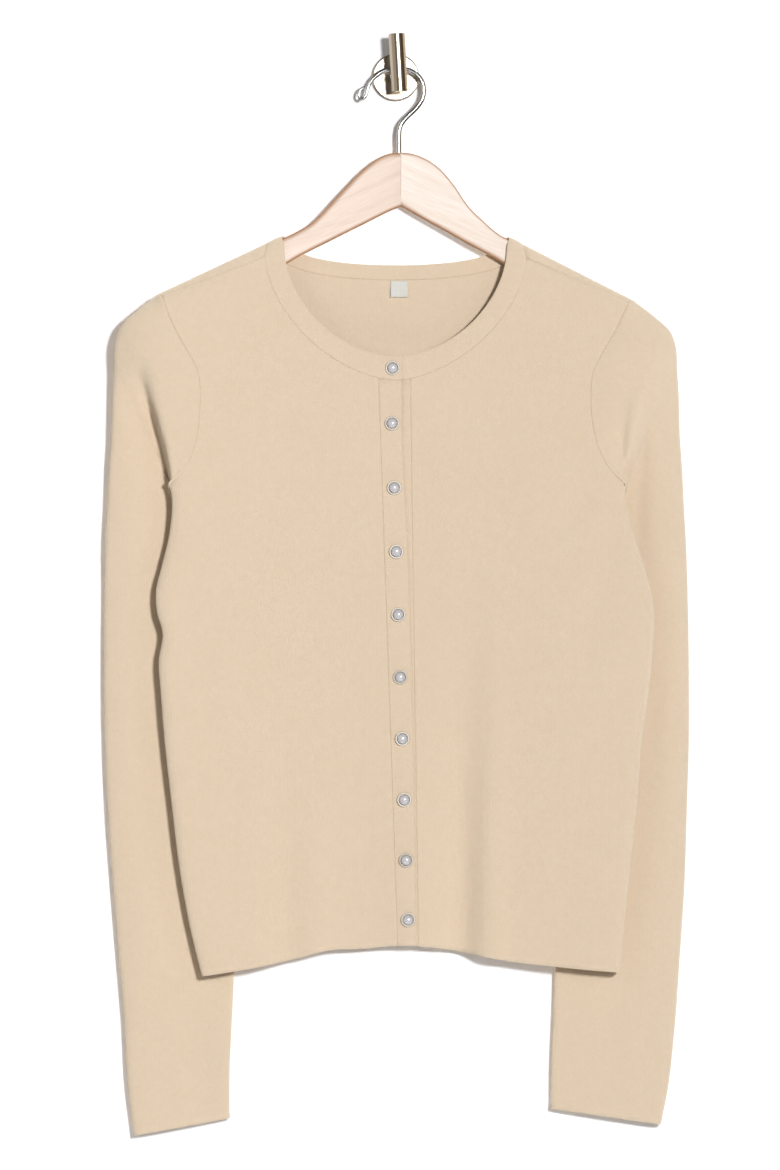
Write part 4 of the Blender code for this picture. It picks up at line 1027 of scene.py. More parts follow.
def folded_back(side, point, angle):
    """The depth of a point on a sleeve's front, with the fold behind the body."""
    down, inside, grown = by_fold_line(side, point)
    if grown <= 0.0 or angle >= math.pi:
        return point[1]
    half = lerp((FOLD_SOFT, FOLD_SHARP), smoothstep(0.0, FOLD_SHARPENS, down))
    level = smoothstep(-half, half, inside) * (1 - smoothstep(*CAP_ENDS, down))
    cap = middle_depth(point[0], point[2]) - SIDE_RADIUS
    reach = FOLD_REACH_IN if inside > 0 and down < 1.0 else FOLD_REACH_OUT
    share = grown * math.exp(-((inside / reach) ** 2))
    share *= smoothstep(0.0, OUTER_EASE, angle) * smoothstep(0.0, INNER_EASE, math.pi - angle)
    drop = lerp(FOLD_DROP[side], smoothstep(*FOOT_DROP, down))
    return point[1] + (lerp((ARM_LEVEL, cap), level) - point[1]) * share * drop


def pushed_behind(side, point, angle):
    """The depth of a point on a sleeve's back, moved clear of the fold in front of it."""
    _, inside, grown = by_fold_line(side, point)
    share = grown * (1 - smoothstep(*BEHIND_STARTS, inside))
    share *= math.exp(-((inside / BEHIND_REACH) ** 2))
    share *= smoothstep(0.0, INNER_EASE, angle - math.pi)
    return point[1] + max(BEHIND_LEVEL - point[1], 0.0) * share


print("fold starts", round(-FOLD_LINE[RIGHT][0].z, 3), "m down on the right sleeve")

# %% Drag lines and steps of the sleeves
SLEEVE_DRAGS = {
    RIGHT: [
        Drag(-0.203, -0.225, -0.180, -0.300, 0.006, -0.0005),
        Drag(-0.216, -0.290, -0.2150, -0.620, 0.0240, 0.0016),
        Drag(-0.190, -0.470, -0.205, -0.560, 0.009, -0.0010),
        Drag(-0.180, -0.700, -0.150, -0.760, 0.010, -0.0010),
        Drag(-0.200, -0.640, -0.205, -0.740, 0.010, 0.0009),
    ],
    LEFT: [
        Drag(0.1945, -0.230, 0.1775, -0.305, 0.0050, 0.0019),
        Drag(0.1940, -0.235, 0.1900, -0.357, 0.0062, -0.0028),
        Drag(0.2245, -0.250, 0.2220, -0.720, 0.0235, 0.0112),
        Drag(0.2010, -0.460, 0.2060, -0.600, 0.0070, -0.0010),
        Drag(0.1800, -0.690, 0.1600, -0.760, 0.0110, -0.0009),
    ],
}
CAP_STEP, ARM_STEP = 0.0022, 0.0055  # metres between rings
FRONT_COUNT, BACK_COUNT = 58, 44  # steps round a ring
DENSE = 4  # times more points while a ring is shaped
RELAX_ROUNDS = 3
EASE_ROUNDS, EASE_PULL = 30, 0.8
EASE_ROWS, EASE_FULL = 0.75, 0.7  # share of the rings that is eased, and of those in full
EASE_OUTSIDE = (0.004, 0.012)  # metres outside the fold line
EASE_ABOVE = 0.02  # metres above its top
EASE_ANGLES = (0.04 * math.pi, 0.15 * math.pi)
DRAG_BEHIND = 0.3  # how much of a crease shows on the back of a sleeve


def hermite(rows, keys, at):
    """Rows of points read from smooth curves through them."""
    slopes = np.gradient(rows, keys, axis=0)
    row = np.clip(np.searchsorted(keys, at) - 1, 0, len(keys) - 2)
    shape = (-1,) + (1,) * (rows.ndim - 1)
    span = (keys[row + 1] - keys[row]).reshape(shape)
    t = (np.asarray(at) - keys[row]).reshape(shape) / span
    start = rows[row] * (1 + 2 * t) * (1 - t) ** 2 + slopes[row] * span * t * (1 - t) ** 2
    return start + rows[row + 1] * t * t * (3 - 2 * t) + slopes[row + 1] * span * t * t * (t - 1)


def lengthened(rings):
    """More rings along the sleeve, closest at the cap, with one just inside the seam."""
    gaps = np.linalg.norm(np.diff(rings, axis=0), axis=2).mean(axis=1)
    keys = np.concatenate([[0.0], np.cumsum(gaps)])
    cap_end = keys[len(CAP_RINGS) + 1]
    cap = np.linspace(0.0, cap_end, round(cap_end / CAP_STEP) + 1)
    arm = np.linspace(cap_end, keys[-1], round((keys[-1] - cap_end) / ARM_STEP) + 1)[1:]
    at = np.concatenate([[0.0, SEAM_STEP], cap[1:], arm])
    return hermite(rings, keys, at)


def evened(ring, count):
    """Points at even steps along a line."""
    run = run_along(ring)
    at = np.linspace(0.0, run[-1], count + 1)
    return np.stack([np.interp(at, run, column) for column in ring.T], axis=1)


def among_neighbours(grid):
    """For all rings but the first and the last, the mean of each point's four neighbours."""
    around = (np.roll(grid, 1, axis=1) + np.roll(grid, -1, axis=1)) / 2
    return (around[1:-1] + (grid[:-2] + grid[2:]) / 2) / 2


def relaxed(grid):
    """The grid smoothed a little, apart from its first two rings and its last."""
    for _ in range(RELAX_ROUNDS):
        grid[2:-1] = 0.5 * grid[2:-1] + 0.5 * among_neighbours(grid)[1:]
    return grid


print("steps round a sleeve:", FRONT_COUNT + BACK_COUNT)

# %% Surface of a sleeve
def eased(grid, side):
    """The front of the arm beside the fold, smoothed further."""
    angles = np.linspace(0.0, math.pi, FRONT_COUNT + 1)
    eased_rows = round(len(grid) * EASE_ROWS)
    share = np.zeros(grid.shape[:2])
    for row in range(3, eased_rows):
        for column, angle in enumerate(angles):
            x, _, z = grid[row, column]
            outside = smoothstep(*EASE_OUTSIDE, side * x - fold_curves[side](z))
            above = smoothstep(0.0, EASE_ABOVE, z - FOLD_LINE[side][0].z)
            share[row, column] = max(outside, above) * smoothstep(*EASE_ANGLES, angle)
        share[row] *= 1 - smoothstep(EASE_FULL * eased_rows, eased_rows, row)
    for _ in range(EASE_ROUNDS):
        pull = share[1:-1, :, None] * EASE_PULL
        grid[1:-1] += (among_neighbours(grid) - grid[1:-1]) * pull
    return grid


def shaped_ring(ring, ends, side):
    """A ring with its front folded back and its back moved clear, both by the fold line."""
    for index in range(1, ends):
        ring[index][1] = folded_back(side, ring[index], math.pi * index / ends)
    for index in range(ends, len(ring)):
        angle = math.pi * (1 + (index - ends) / (len(ring) - ends))
        ring[index][1] = pushed_behind(side, ring[index], angle)
    return ring


def creased(grid, side):
    """The grid with its drag lines, which show less behind."""
    turns = np.concatenate([np.linspace(0.0, math.pi, FRONT_COUNT + 1),
                            np.linspace(math.pi, 2 * math.pi, BACK_COUNT + 1)[1:-1]])
    weights = np.sin(turns)
    weights = np.where(weights > 0, np.abs(weights) ** 0.5, weights * DRAG_BEHIND)
    for ring in grid:
        for point, weight in zip(ring, weights):
            point[1] -= weight * drag_depth(point[0], point[2], SLEEVE_DRAGS[side])
    return grid


def sleeve_surface(side):
    """A sleeve as a closed grid: a row for each ring, from armhole to cuff."""
    rings, underarm = sleeve_rings(side)
    rings = lengthened(rings)
    count = rings.shape[1]
    closed = np.concatenate([rings, rings[:, :1]], axis=1)
    keys = np.arange(count + 1.0)
    dense_at = np.arange(count * DENSE + 1) / DENSE
    ends = underarm * DENSE
    grid = []
    for ring in closed:
        dense = hermite(ring, keys, dense_at)
        if len(grid) > 1:  # the first two rings keep to the armhole
            dense = shaped_ring(dense, ends, side)
        front, behind = evened(dense[:ends + 1], FRONT_COUNT), evened(dense[ends:], BACK_COUNT)
        grid.append(np.concatenate([front, behind[1:-1]]))
    return creased(eased(relaxed(np.array(grid)), side), side)


sleeves = {side: sleeve_surface(side) for side in SIDES}
print("rows of a sleeve:", len(sleeves[RIGHT]))

# %% Sleeves
SEAM_HIDES = 0.0002  # the underarm seam shows a little less than the others
for side, name in SIDES.items():
    grid = sleeves[side]
    down = distance_in(grid, 0, False)
    closed = np.concatenate([grid, grid[:, :1]], axis=1)
    around = distance_in(closed, 1, False)[:, :-1]
    around = around - around[:, FRONT_COUNT:FRONT_COUNT + 1]
    seam = np.minimum(down, np.abs(around) + SEAM_HIDES)
    # these normals face into the tube: a sleeve's head is eased in and stands up at its seam
    shell = sunk(grid, down, grid_normals(grid, True, -side))
    knit_piece(f"sleeve_{name}", shell, np.stack([around, -down], axis=2), seam,
               closed=True, flipped=side == LEFT)

# %% [markdown]
# ## Neckband and button bands
#
# The neck is finished with a narrow band that is knitted on, and so are the two fronts. The
# bands are firmer than the panels: they lie a little proud of them, rounded at the free edge,
# and a neat line of linking shows where they join.

# %% Lines of the neckband
CORNER_STEPS, NECK_TURNS, BACK_TURNS = 3, 28, 22  # steps over the lap, the front and the back


def neckband_line(outs, front_z, front_power, back_z, inward):
    """Points along one line of the neckband, from its right end to its left end."""
    line = []
    for side in (RIGHT, LEFT):
        corner, end = corner_turn(side), turn_at(NECKBAND_LAP_X[side], side)
        turns = [lerp((end, corner), step / CORNER_STEPS) for step in range(CORNER_STEPS)]
        turns += [corner * (1 - step / NECK_TURNS) for step in range(NECK_TURNS)]
        half = []
        for turn in turns:
            x, z = neck_line(turn, side, outs, front_z + inward, front_power)
            depth = layer_depth(x, z, FRONT) + lap_depth(x, z, side)
            half.append(np.array([x - side * inward * math.cos(math.radians(turn)), depth, z]))
        for turn in range(STRIP_TURNS + 1):
            angle = lerp((-90.0, 90.0), turn / STRIP_TURNS)
            half.append(over_shoulder(side * (strip_out(outs, angle) - inward), angle))
        for step in range(1, BACK_TURNS + (side == RIGHT)):
            x, z = back_neck_line(90.0 * step / BACK_TURNS, side, outs, back_z + inward)
            half.append(np.array([x, layer_depth(x, z, BACK), z]))
        line += half if side == RIGHT else half[::-1]
    return np.array(line)


seam_line = neckband_line(SEAM_OUTS, SEAM_NECK_Z, SEAM_NECK_POWER, BACK_SEAM_NECK_Z, SEAM_GAP)
edge_line = neckband_line(EDGE_OUTS, EDGE_NECK_Z, EDGE_NECK_POWER, BACK_EDGE_NECK_Z, 0.0)
print("points along the neckband:", len(seam_line))

# %% Neckband
BAND_CROWN = 0.0005  # how far the middle of a band stands proud
BAND_SHARES = (0.0, 0.09, 0.25, 0.42, 0.6, 0.78, 0.92, 1.0)  # rows from the seam to the edge
grid = np.array([seam_line * (1 - share) + edge_line * share for share in BAND_SHARES])
normals = grid_normals(grid, False, 1.0)
if normals[:, :NECK_TURNS, 1].mean() > 0:
    normals = -normals
crown = np.array([BAND_CROWN * math.sin(math.pi * share) for share in BAND_SHARES])
grid = grid + normals * crown[:, None, None]
seam = seam_distance(grid, ("low",))
run = distance_in(grid, 1, False)
run = np.repeat(run.mean(axis=0)[None], len(BAND_SHARES), axis=0)
uvs = np.stack([run, -distance_in(grid, 0, False)], axis=2)
knit_piece("neckband", sunk(grid, seam, normals), uvs, seam)

# %% Lines of the button bands
BAND_STEPS = (0.0, 0.06, 0.2, 0.4, 0.6, 0.8, 0.93, 1.0)  # columns from the seam to the edge
BAND_ROWS = 90
BAND_DIP, BAND_GAPE = 0.0013, 0.0034  # of the under band's hidden edge, below and at its top
GAPE_Z = (-0.300, -0.240)
DIP_SHARE = 0.6  # of the band's width, over which it dips


def neck_seam_z(x, side):
    turn = turn_at(x, side)
    return neck_line(turn, side, SEAM_OUTS, SEAM_NECK_Z, SEAM_NECK_POWER)[1]


def band_grid(side):
    """A button band from its hem up: the right one lies on top, the left one under it."""
    low_z = hem_z((BAND_SEAM_X[RIGHT][1] + BAND_SEAM_X[LEFT][1]) / 2)
    high_z = SEAM_NECK_Z - SEAM_GAP
    grid = []
    for row in range(BAND_ROWS + 1):
        z = lerp((low_z, high_z), row / BAND_ROWS)
        near = line_x(BAND_SEAM_X[side], z) - side * SEAM_GAP
        if side == RIGHT:
            far = band_edge_x(z)
        else:
            far = line_x(BAND_SEAM_X[RIGHT], z) + UNDER_BAND_HIDDEN
        line = []
        for step in BAND_STEPS:
            x = lerp((near, far), step)
            hang_z = lerp((low_z, neck_seam_z(x, side) - SEAM_GAP), row / BAND_ROWS)
            crown = BAND_CROWN * math.sin(math.pi * step)
            if side == LEFT:  # the under band dips towards the edge that lies over it
                dip = lerp((BAND_DIP, BAND_GAPE), smoothstep(*GAPE_Z, hang_z))
                crown = -dip * smoothstep(0.0, DIP_SHARE, step)
            line.append((x, layer_depth(x, hang_z, FRONT) + side * PLY / 2 - crown, hang_z))
        grid.append(line)
    return np.array(grid)


print("rows of a band:", BAND_ROWS)

# %% Button bands
UNDER_HIDES = 0.0009  # the under band's seam shows less
for side, name in ((RIGHT, "buttonhole"), (LEFT, "button")):
    grid = band_grid(side)
    seam = seam_distance(grid, ("start", "high")) + (UNDER_HIDES if side == LEFT else 0.0)
    shell = sunk(grid, seam, grid_normals(grid, False, -side))
    knit_piece(f"{name}_band", shell, grid[:, :, [2, 0]], seam,
               flipped=side == LEFT)

# %% [markdown]
# ## Label
#
# A small woven size label is sewn into the back neck seam by its folded top edge. It is left
# blank. Its free end stands a little away from the knit, so that it throws a thin shadow.

# %% Label tape
# real tape has some 40 threads to the centimetre; drawn at 10, so that they don't blur
# together: a wave texture makes 20 radians to a metre at scale 1
THREAD_SCALE = 320.0
tape, tree, shader = start_material("woven_label_tape", Roughness=0.7)
at = add(tree, "TexCoord")
threads, crossing = [
    add(tree, "TexWave", {"Vector": (at, "Object"), "Scale": THREAD_SCALE, "Distortion": 0.4},
        bands_direction=direction) for direction in ("Z", "X")
]
weave = add(tree, "Math", {0: (threads, "Fac"), 1: (crossing, "Fac")}, operation="MULTIPLY")
tone = add(tree, "Mix", {0: (weave, 0), 6: linear("#C9C8C0"), 7: linear("#DEDCD4")},
           data_type="RGBA")
tree.links.new(tone.outputs[2], shader.inputs["Base Color"])
bump = add(tree, "Bump", {"Strength": 0.4, "Distance": 0.0001, "Height": (weave, 0)})
tree.links.new(bump.outputs[0], shader.inputs["Normal"])
print("threads to the centimetre:", round(0.01 * 20 * THREAD_SCALE / (2 * math.pi)))

# %% Label
LABEL_X = (-0.0040, 0.0096)
LABEL_Z = (-0.1590, -0.1712)  # its seamed edge and its free one
LABEL_ROWS, LABEL_COLUMNS = 15, 13
LABEL_WALL = 0.0004
LABEL_OFF = 0.0002  # room between the label's top and the knit
LABEL_STAND = 0.0020  # how far its free edge stands off the knit
LABEL_CURL = 0.0003
LABEL_BENDS = 1.5  # the higher, the nearer to the free edge it bends off
TUCK = (0.0, 0.0001, 0.0006)  # from its first row to the edge that is sewn in
rows = []
for down in np.linspace(0.0, 1.0, LABEL_ROWS):
    z = lerp(LABEL_Z, down)
    line = []
    for across in np.linspace(0.0, 1.0, LABEL_COLUMNS):
        x = lerp(LABEL_X, across)
        curl = LABEL_CURL * math.cos(2 * math.pi * across)
        stand = (WALL + LABEL_WALL) / 2 + LABEL_OFF + (LABEL_STAND + curl) * down**LABEL_BENDS
        line.append((x, layer_depth(x, z, BACK) - stand, z))
    rows.append(line)
rows = np.array(rows)
grid = np.concatenate([rows[:1] + TUCK, rows])
size_label = cloth_object("size_label", grid.reshape(-1, 3),
                          [face[::-1] for face in grid_faces(*grid.shape[:2])],
                          grid[:, :, [0, 2]].reshape(-1, 2), np.ones(grid[..., 0].size),
                          LABEL_WALL)
dress(size_label, tape, "label_tape", "neck_label")
print(size_label.name, triangles(size_label), "triangles")

# %% [markdown]
# ## Buttons
#
# Each button is a half pearl set in a pale metal rim, 11.4 mm across. One is modelled and
# copied to the places of the ten solids. The rim starts as a disc; it is extruded and inset
# into a shallow cup, and the pearl is a ball flattened and cut to sit in it.

# %% Materials of the buttons
# pearl: nacre-coated plastic, a soft gloss over a milky body
pearl, tree, shader = start_material("milky_pearl", Roughness=0.22, Coat_Weight=0.6,
                                     Coat_Roughness=0.11, Specular_IOR_Level=0.8)
# painted reflection: the colour darkens towards the pearl's edge, for the dark room that its
# curved edge reflects
painted_dark_edge = add(tree, "LayerWeight", {"Blend": 0.50})
tone = add(tree, "Mix", {0: (painted_dark_edge, "Facing"), 6: linear("#C6C4C6"), 7: linear("#A09C9E")},
           data_type="RGBA")
tree.links.new(tone.outputs[2], shader.inputs["Base Color"])
# rim: nickel-plated alloy, pale and a little soft from the plating
rim_metal = start_material("plated_rim", "#BDB5AB", Roughness=0.5, Metallic=0.35)[0]
print("button materials:", pearl.name, "and", rim_metal.name)

# %% Helpers for modelled pieces
SHARP = 50.0  # degrees; an edge that bends more is a corner


def disc(radius, vertices, location=(0.0, 0.0, 0.0), rotation=(0.0, 0.0, 0.0)):
    """A filled circle with its place in its mesh, left in edit mode and selected all over."""
    bpy.ops.object.select_all(action="DESELECT")
    bpy.ops.mesh.primitive_circle_add(vertices=vertices, radius=radius, fill_type="NGON",
                                      location=location, rotation=rotation)
    bpy.ops.object.transform_apply(location=True, rotation=True, scale=True)
    bpy.ops.object.mode_set(mode="EDIT")
    bpy.ops.mesh.select_all(action="SELECT")
    return bpy.context.object


def extrude(x, y, z):
    bpy.ops.mesh.extrude_region_move(TRANSFORM_OT_translate={"value": (x, y, z)})


def face_outwards():
    bpy.ops.mesh.select_all(action="SELECT")
    bpy.ops.mesh.normals_make_consistent(inside=False)


def pick_sharp_edges(degrees):
    bpy.ops.mesh.select_all(action="DESELECT")
    bpy.ops.mesh.select_mode(type="EDGE")
    bpy.ops.mesh.edges_select_sharp(sharpness=math.radians(degrees))


def smooth_by_angle(made, degrees, flat_faces=False):
    """Smooth shading with sharp edges kept. Large flat faces can keep their own direction."""
    only(made)
    bpy.ops.object.shade_smooth_by_angle(angle=math.radians(degrees))
    if flat_faces:
        weigh = made.modifiers.new("weigh", "WEIGHTED_NORMAL")
        weigh.keep_sharp = True
        bpy.ops.object.modifier_apply(modifier=weigh.name)


def wire(name, radius, fineness, lines, closed):
    """Round wire along lines of points (x, y, z, thickness), made a mesh."""
    curve = bpy.data.curves.new(name, "CURVE")
    curve.dimensions = "3D"
    curve.bevel_depth = radius
    curve.bevel_resolution = fineness
    curve.use_fill_caps = not closed
    for line in lines:
        spline = curve.splines.new("POLY")
        spline.points.add(len(line) - 1)
        spline.use_cyclic_u = closed
        for point, (x, y, z, thickness) in zip(spline.points, line):
            point.co = (x, y, z, 1.0)
            point.radius = thickness
    only(new_object(name, curve))
    bpy.ops.object.convert(target="MESH")
    return bpy.context.object


print("corners bend more than", SHARP, "degrees")

# %% Rim
RIM_RADIUS = 0.0057
RIM_HEIGHT = 0.0020
RIM_FOOT, RIM_TOP = 0.93, 0.96  # shares of its radius
RIM_WIDEST = 0.6  # share of its height
RIM_LAND = 0.0011  # width of its flat top
RIM_CUP = 0.5  # depth of the cup as a share of its height
RIM_CORNER, RIM_EDGE = 28.0, 0.00022
rim = disc(RIM_RADIUS * RIM_FOOT, 48)
extrude(0, 0, RIM_HEIGHT * RIM_WIDEST)
bpy.ops.transform.resize(value=(1 / RIM_FOOT, 1 / RIM_FOOT, 1.0))
extrude(0, 0, RIM_HEIGHT * (1 - RIM_WIDEST))
bpy.ops.transform.resize(value=(RIM_TOP, RIM_TOP, 1.0))
bpy.ops.mesh.inset(thickness=RIM_LAND)
extrude(0, 0, -RIM_HEIGHT * RIM_CUP)
face_outwards()
pick_sharp_edges(RIM_CORNER)
bpy.ops.mesh.bevel(offset=RIM_EDGE, segments=3)
bpy.ops.object.mode_set(mode="OBJECT")
rim.data.materials.append(rim_metal)
print("rim:", triangles(rim), "triangles")

# %% Pearl in its rim
PEARL_RADIUS = 0.0040
PEARL_FLAT = 0.66
PEARL_LIFT, PEARL_CUT = 0.92, 0.6  # its middle and its cut, as shares of the rim's height
bpy.ops.object.select_all(action="DESELECT")
bpy.ops.mesh.primitive_uv_sphere_add(segments=40, ring_count=24, radius=PEARL_RADIUS)
bead = bpy.context.object
bpy.ops.object.mode_set(mode="EDIT")
bpy.ops.mesh.select_all(action="SELECT")
bpy.ops.transform.resize(value=(1.0, 1.0, PEARL_FLAT))
bpy.ops.transform.translate(value=(0.0, 0.0, RIM_HEIGHT * PEARL_LIFT))
bpy.ops.mesh.select_all(action="SELECT")
bpy.ops.mesh.bisect(plane_co=(0, 0, RIM_HEIGHT * PEARL_CUT), plane_no=(0, 0, 1),
                    clear_inner=True, use_fill=True)
bpy.ops.object.mode_set(mode="OBJECT")
bead.data.materials.append(pearl)
bead.select_set(True)
rim.select_set(True)
bpy.context.view_layer.objects.active = rim
bpy.ops.object.join()
smooth_by_angle(rim, 40)
button_mesh = rim.data
print("button:", triangles(rim), "triangles")

# %% Ten buttons
NECK_BUTTON = (-0.0023, -0.2270)
FIRST_BUTTON = (-0.0027, -0.2702)
BUTTON_COUNT = 9  # on the band, below the one at the neck
BUTTON_PITCH = 0.05055
BUTTON_CLOSING = 0.00027  # how the pitch shrinks on the way down
BUTTON_DRIFT = 0.0323  # how far they move sideways for each metre down
BUTTON_SEAT = 0.0003
BUTTON_TILT, BUTTON_TURN = 0.05, 0.04  # radians at most, since no two hang quite alike
TILT_PACE, TURN_PACE = 2.3, 1.7


def button_places():
    places = [NECK_BUTTON]
    for number in range(BUTTON_COUNT):
        down = BUTTON_PITCH * number - BUTTON_CLOSING * number**2
        places.append((FIRST_BUTTON[0] + BUTTON_DRIFT * down, FIRST_BUTTON[1] - down))
    return places


def band_surface(x, z):
    """Depth of the outer face of the upper band."""
    return layer_depth(x, z, FRONT) - PLY / 2 - WALL / 2


for number, (x, z) in enumerate(button_places(), 1):
    made = only(new_object(f"pearl_button_{number:02d}", button_mesh.copy()))
    tilt = BUTTON_TILT * math.sin(TILT_PACE * number)
    turn = BUTTON_TURN * math.cos(TURN_PACE * number)
    made.location = (x, band_surface(x, z) - BUTTON_SEAT, z)
    made.rotation_euler = (math.radians(90.0) + tilt, 0.0, turn)
    bpy.ops.object.transform_apply(location=True, rotation=True, scale=True)
    dress(made, None, "pearl", f"button_{number:02d}")
bpy.data.objects.remove(rim)
print("buttons:", BUTTON_COUNT + 1)

# %% [markdown]
# ## Buttonholes
#
# A buttonhole in fine knit is a slit with a tight row of thread round it. It runs along the
# front band and across the neckband. Only its ends show past the button.
# Each slit is drawn as a thin dark sheet: painted shade, for the shade inside the hole.

# %% Buttonhole materials
# the thread is real stitching; its colour, darker than the knit, is painted shade round each hole
thread_cotton = start_material("buttonhole_cotton", "#C6A986", Roughness=0.8)[0]
# painted shade: a dark knit colour for the sheet that stands for the shade inside each slit
slit_shade = start_material("slit_in_shade", "#A0866A", Roughness=1.0)[0]
print("buttonhole materials:", thread_cotton.name, "and", slit_shade.name)

# %% Buttonholes
HOLE_LENGTH = 0.0160
HOLE_HALF_WIDTH = 0.00055
THREAD = 0.00032  # half its thickness
NECK_HOLE_X, BAND_HOLE_X = -0.0004, 0.0002  # from the middle of its button
HOLE_LOWER, HOLE_HIGHER = -0.0022, 0.0012  # most holes hang lower than their button
LONG_HOLES, HOLE_LONGER = (1, 3, 6), 0.0009
OVAL_SQUARENESS = 0.6
SLIT_LIFT, SLIT_DEPTH = 0.00006, 0.0002


def oval(x, z, along_z, half_long, half_wide, lift, count):
    """Points round a buttonhole on the upper band."""
    ring = []
    for step in range(count):
        turn = 2 * math.pi * step / count
        reach = half_long * math.cos(turn)
        width = half_wide * math.copysign(abs(math.sin(turn)) ** OVAL_SQUARENESS, math.sin(turn))
        px, pz = (x + width, z + reach) if along_z else (x + reach, z + width)
        ring.append((px, band_surface(px, pz) - lift, pz))
    return ring


rings, slit_points, slit_faces = [], [], []
for number, (x, z) in enumerate(button_places()):
    along_z = number > 0
    lower = HOLE_LOWER if number % 4 else HOLE_HIGHER
    centre = (x + BAND_HOLE_X, z + lower) if along_z else (x + NECK_HOLE_X, z)
    half = HOLE_LENGTH / 2 + (HOLE_LONGER if number in LONG_HOLES else 0.0)
    ring = oval(*centre, along_z, half, HOLE_HALF_WIDTH + THREAD, 0.0, 40)
    rings.append([(*place, 1.0) for place in ring])
    inner = oval(*centre, along_z, half - THREAD, HOLE_HALF_WIDTH, SLIT_LIFT, 24)
    slit_faces.append(tuple(range(len(slit_points), len(slit_points) + len(inner))))
    slit_points += inner
thread = wire("buttonhole_thread", THREAD, 2, rings, closed=True)
thread.data.shade_smooth()
dress(thread, thread_cotton, "knit")
# painted shade: a thin dark sheet in each slit
mesh = bpy.data.meshes.new("buttonhole_slit_shade")
mesh.from_pydata(slit_points, [], slit_faces)
slit_shade_sheet = only(new_object("buttonhole_slit_shade", mesh))
bpy.ops.object.mode_set(mode="EDIT")
bpy.ops.mesh.select_all(action="SELECT")
extrude(0, SLIT_DEPTH, 0)
face_outwards()
bpy.ops.object.mode_set(mode="OBJECT")
dress(slit_shade_sheet, slit_shade, "knit")
print("buttonhole thread:", triangles(thread), "triangles")

# %% [markdown]
# ## Hanger
#
# Two arms of pale maple are glued at the middle under a clear satin lacquer. Each
# arm is cut to its outline from a board that bends forward, and all its long edges are
# rounded over. The roundings are painted a darker brown: painted shade, where the edges turn
# away from the light.

# %% Wood
# fine straight-grained maple; its pores are 0.1 mm, drawn as streaks 0.8 mm apart
STREAKS = (55.0, 1250.0, 1.0)  # to the metre, along and across the grain
FIGURE = (9.0, 160.0, 1.0)  # the same for the broad bands of a board
FIGURE_TONE = 0.8
# painted shade: faces turned this far from looking forward get the darker edge colour
ROUNDED = (0.99, 0.60)  # how squarely a face looks forward: flat, and well into a rounding


def wood_material(name, light_code, deep_code):
    made, tree, shader = start_material(name, Roughness=0.5, Coat_Weight=0.12, Coat_Roughness=0.35)
    at = add(tree, "TexCoord")
    fine = add(tree, "Mapping", {"Vector": (at, "UV"), "Scale": STREAKS})
    streaks = add(tree, "TexNoise", {"Vector": (fine, 0), "Scale": 1.0, "Detail": 4.0,
                                     "Roughness": 0.6})
    wide = add(tree, "Mapping", {"Vector": (at, "UV"), "Scale": FIGURE})
    figure = add(tree, "TexNoise", {"Vector": (wide, 0), "Scale": 1.0, "Detail": 2.0,
                                    "Distortion": 0.8})
    tone = add(tree, "Math", {0: (figure, 0), 1: FIGURE_TONE, 2: (streaks, 0)},
               operation="MULTIPLY_ADD")
    share = add(tree, "MapRange", {0: (tone, 0), 1: 0.65, 2: 1.25, 3: 0.0, 4: 1.0})
    face = add(tree, "Mix", {0: (share, 0), 6: linear(light_code), 7: linear(deep_code)},
               data_type="RGBA")
    turned = add(tree, "SeparateXYZ", {0: (at, "Normal")})
    flatness = add(tree, "Math", {0: (turned, 1)}, operation="ABSOLUTE")
    rounding = add(tree, "MapRange", {0: (flatness, 0), 1: ROUNDED[0], 2: ROUNDED[1],
                                      3: 0.0, 4: 1.0})
    # painted shade: the roundings, turned away from the light, are mixed towards this darker brown
    tone = add(tree, "Mix", {0: (rounding, 0), 6: (face, 2), 7: linear("#C08C62")},
               data_type="RGBA")
    tree.links.new(tone.outputs[2], shader.inputs["Base Color"])
    bump = add(tree, "Bump", {"Strength": 0.12, "Distance": 0.0001, "Height": (streaks, 0)})
    tree.links.new(bump.outputs[0], shader.inputs["Normal"])
    return made


# the two halves are a lit and a shaded copy of one maple: the paler one is painted light and
# the darker one painted shade, since one arm faces the key lamp more than the other
woods = {RIGHT: wood_material("lacquered_maple_shaded_copy", "#DECABA", "#CCB09C"),
         LEFT: wood_material("lacquered_maple_lit_copy", "#EFE3D8", "#DDC9B8")}
print("woods:", [made.name for made in woods.values()])

# %% Outline of the arms
HANGER_END_OUT = 0.1820
ARM_HEIGHT = 0.0215
ARM_OUTS = (0.088, 0.105, 0.125, 0.145, 0.160, 0.172)  # places inside the shoulders
CLOTH_REST = 0.0014  # from the cloth's middle down to the wood
HangerRow = namedtuple("HangerRow", "x top bottom")
TipRow = namedtuple("TipRow", "back_from_end shrink")
ARM_TIP = [TipRow(0.0070, 0.0010), TipRow(0.0040, 0.0024), TipRow(0.0018, 0.0042),
           TipRow(0.0005, 0.0063), TipRow(0.0, 0.0082)]
HANGER_NECK = {
    RIGHT: [
        HangerRow(0.0041, -0.0587, -0.1005), HangerRow(-0.0040, -0.0592, -0.1038),
        HangerRow(-0.0121, -0.0621, -0.1078), HangerRow(-0.0238, -0.0705, -0.1138),
        HangerRow(-0.0374, -0.0841, -0.1206), HangerRow(-0.0511, -0.0991, -0.1275),
        HangerRow(-0.0644, -0.1128, -0.1342), HangerRow(-0.0770, -0.1207, -0.1407),
    ],
    LEFT: [
        HangerRow(0.0044, -0.0587, -0.1005), HangerRow(0.0125, -0.0596, -0.1052),
        HangerRow(0.0203, -0.0622, -0.1098), HangerRow(0.0336, -0.0705, -0.1172),
        HangerRow(0.0455, -0.0841, -0.1238), HangerRow(0.0556, -0.0991, -0.1296),
        HangerRow(0.0690, -0.1128, -0.1368), HangerRow(0.0790, -0.1216, -0.1423),
    ],
}


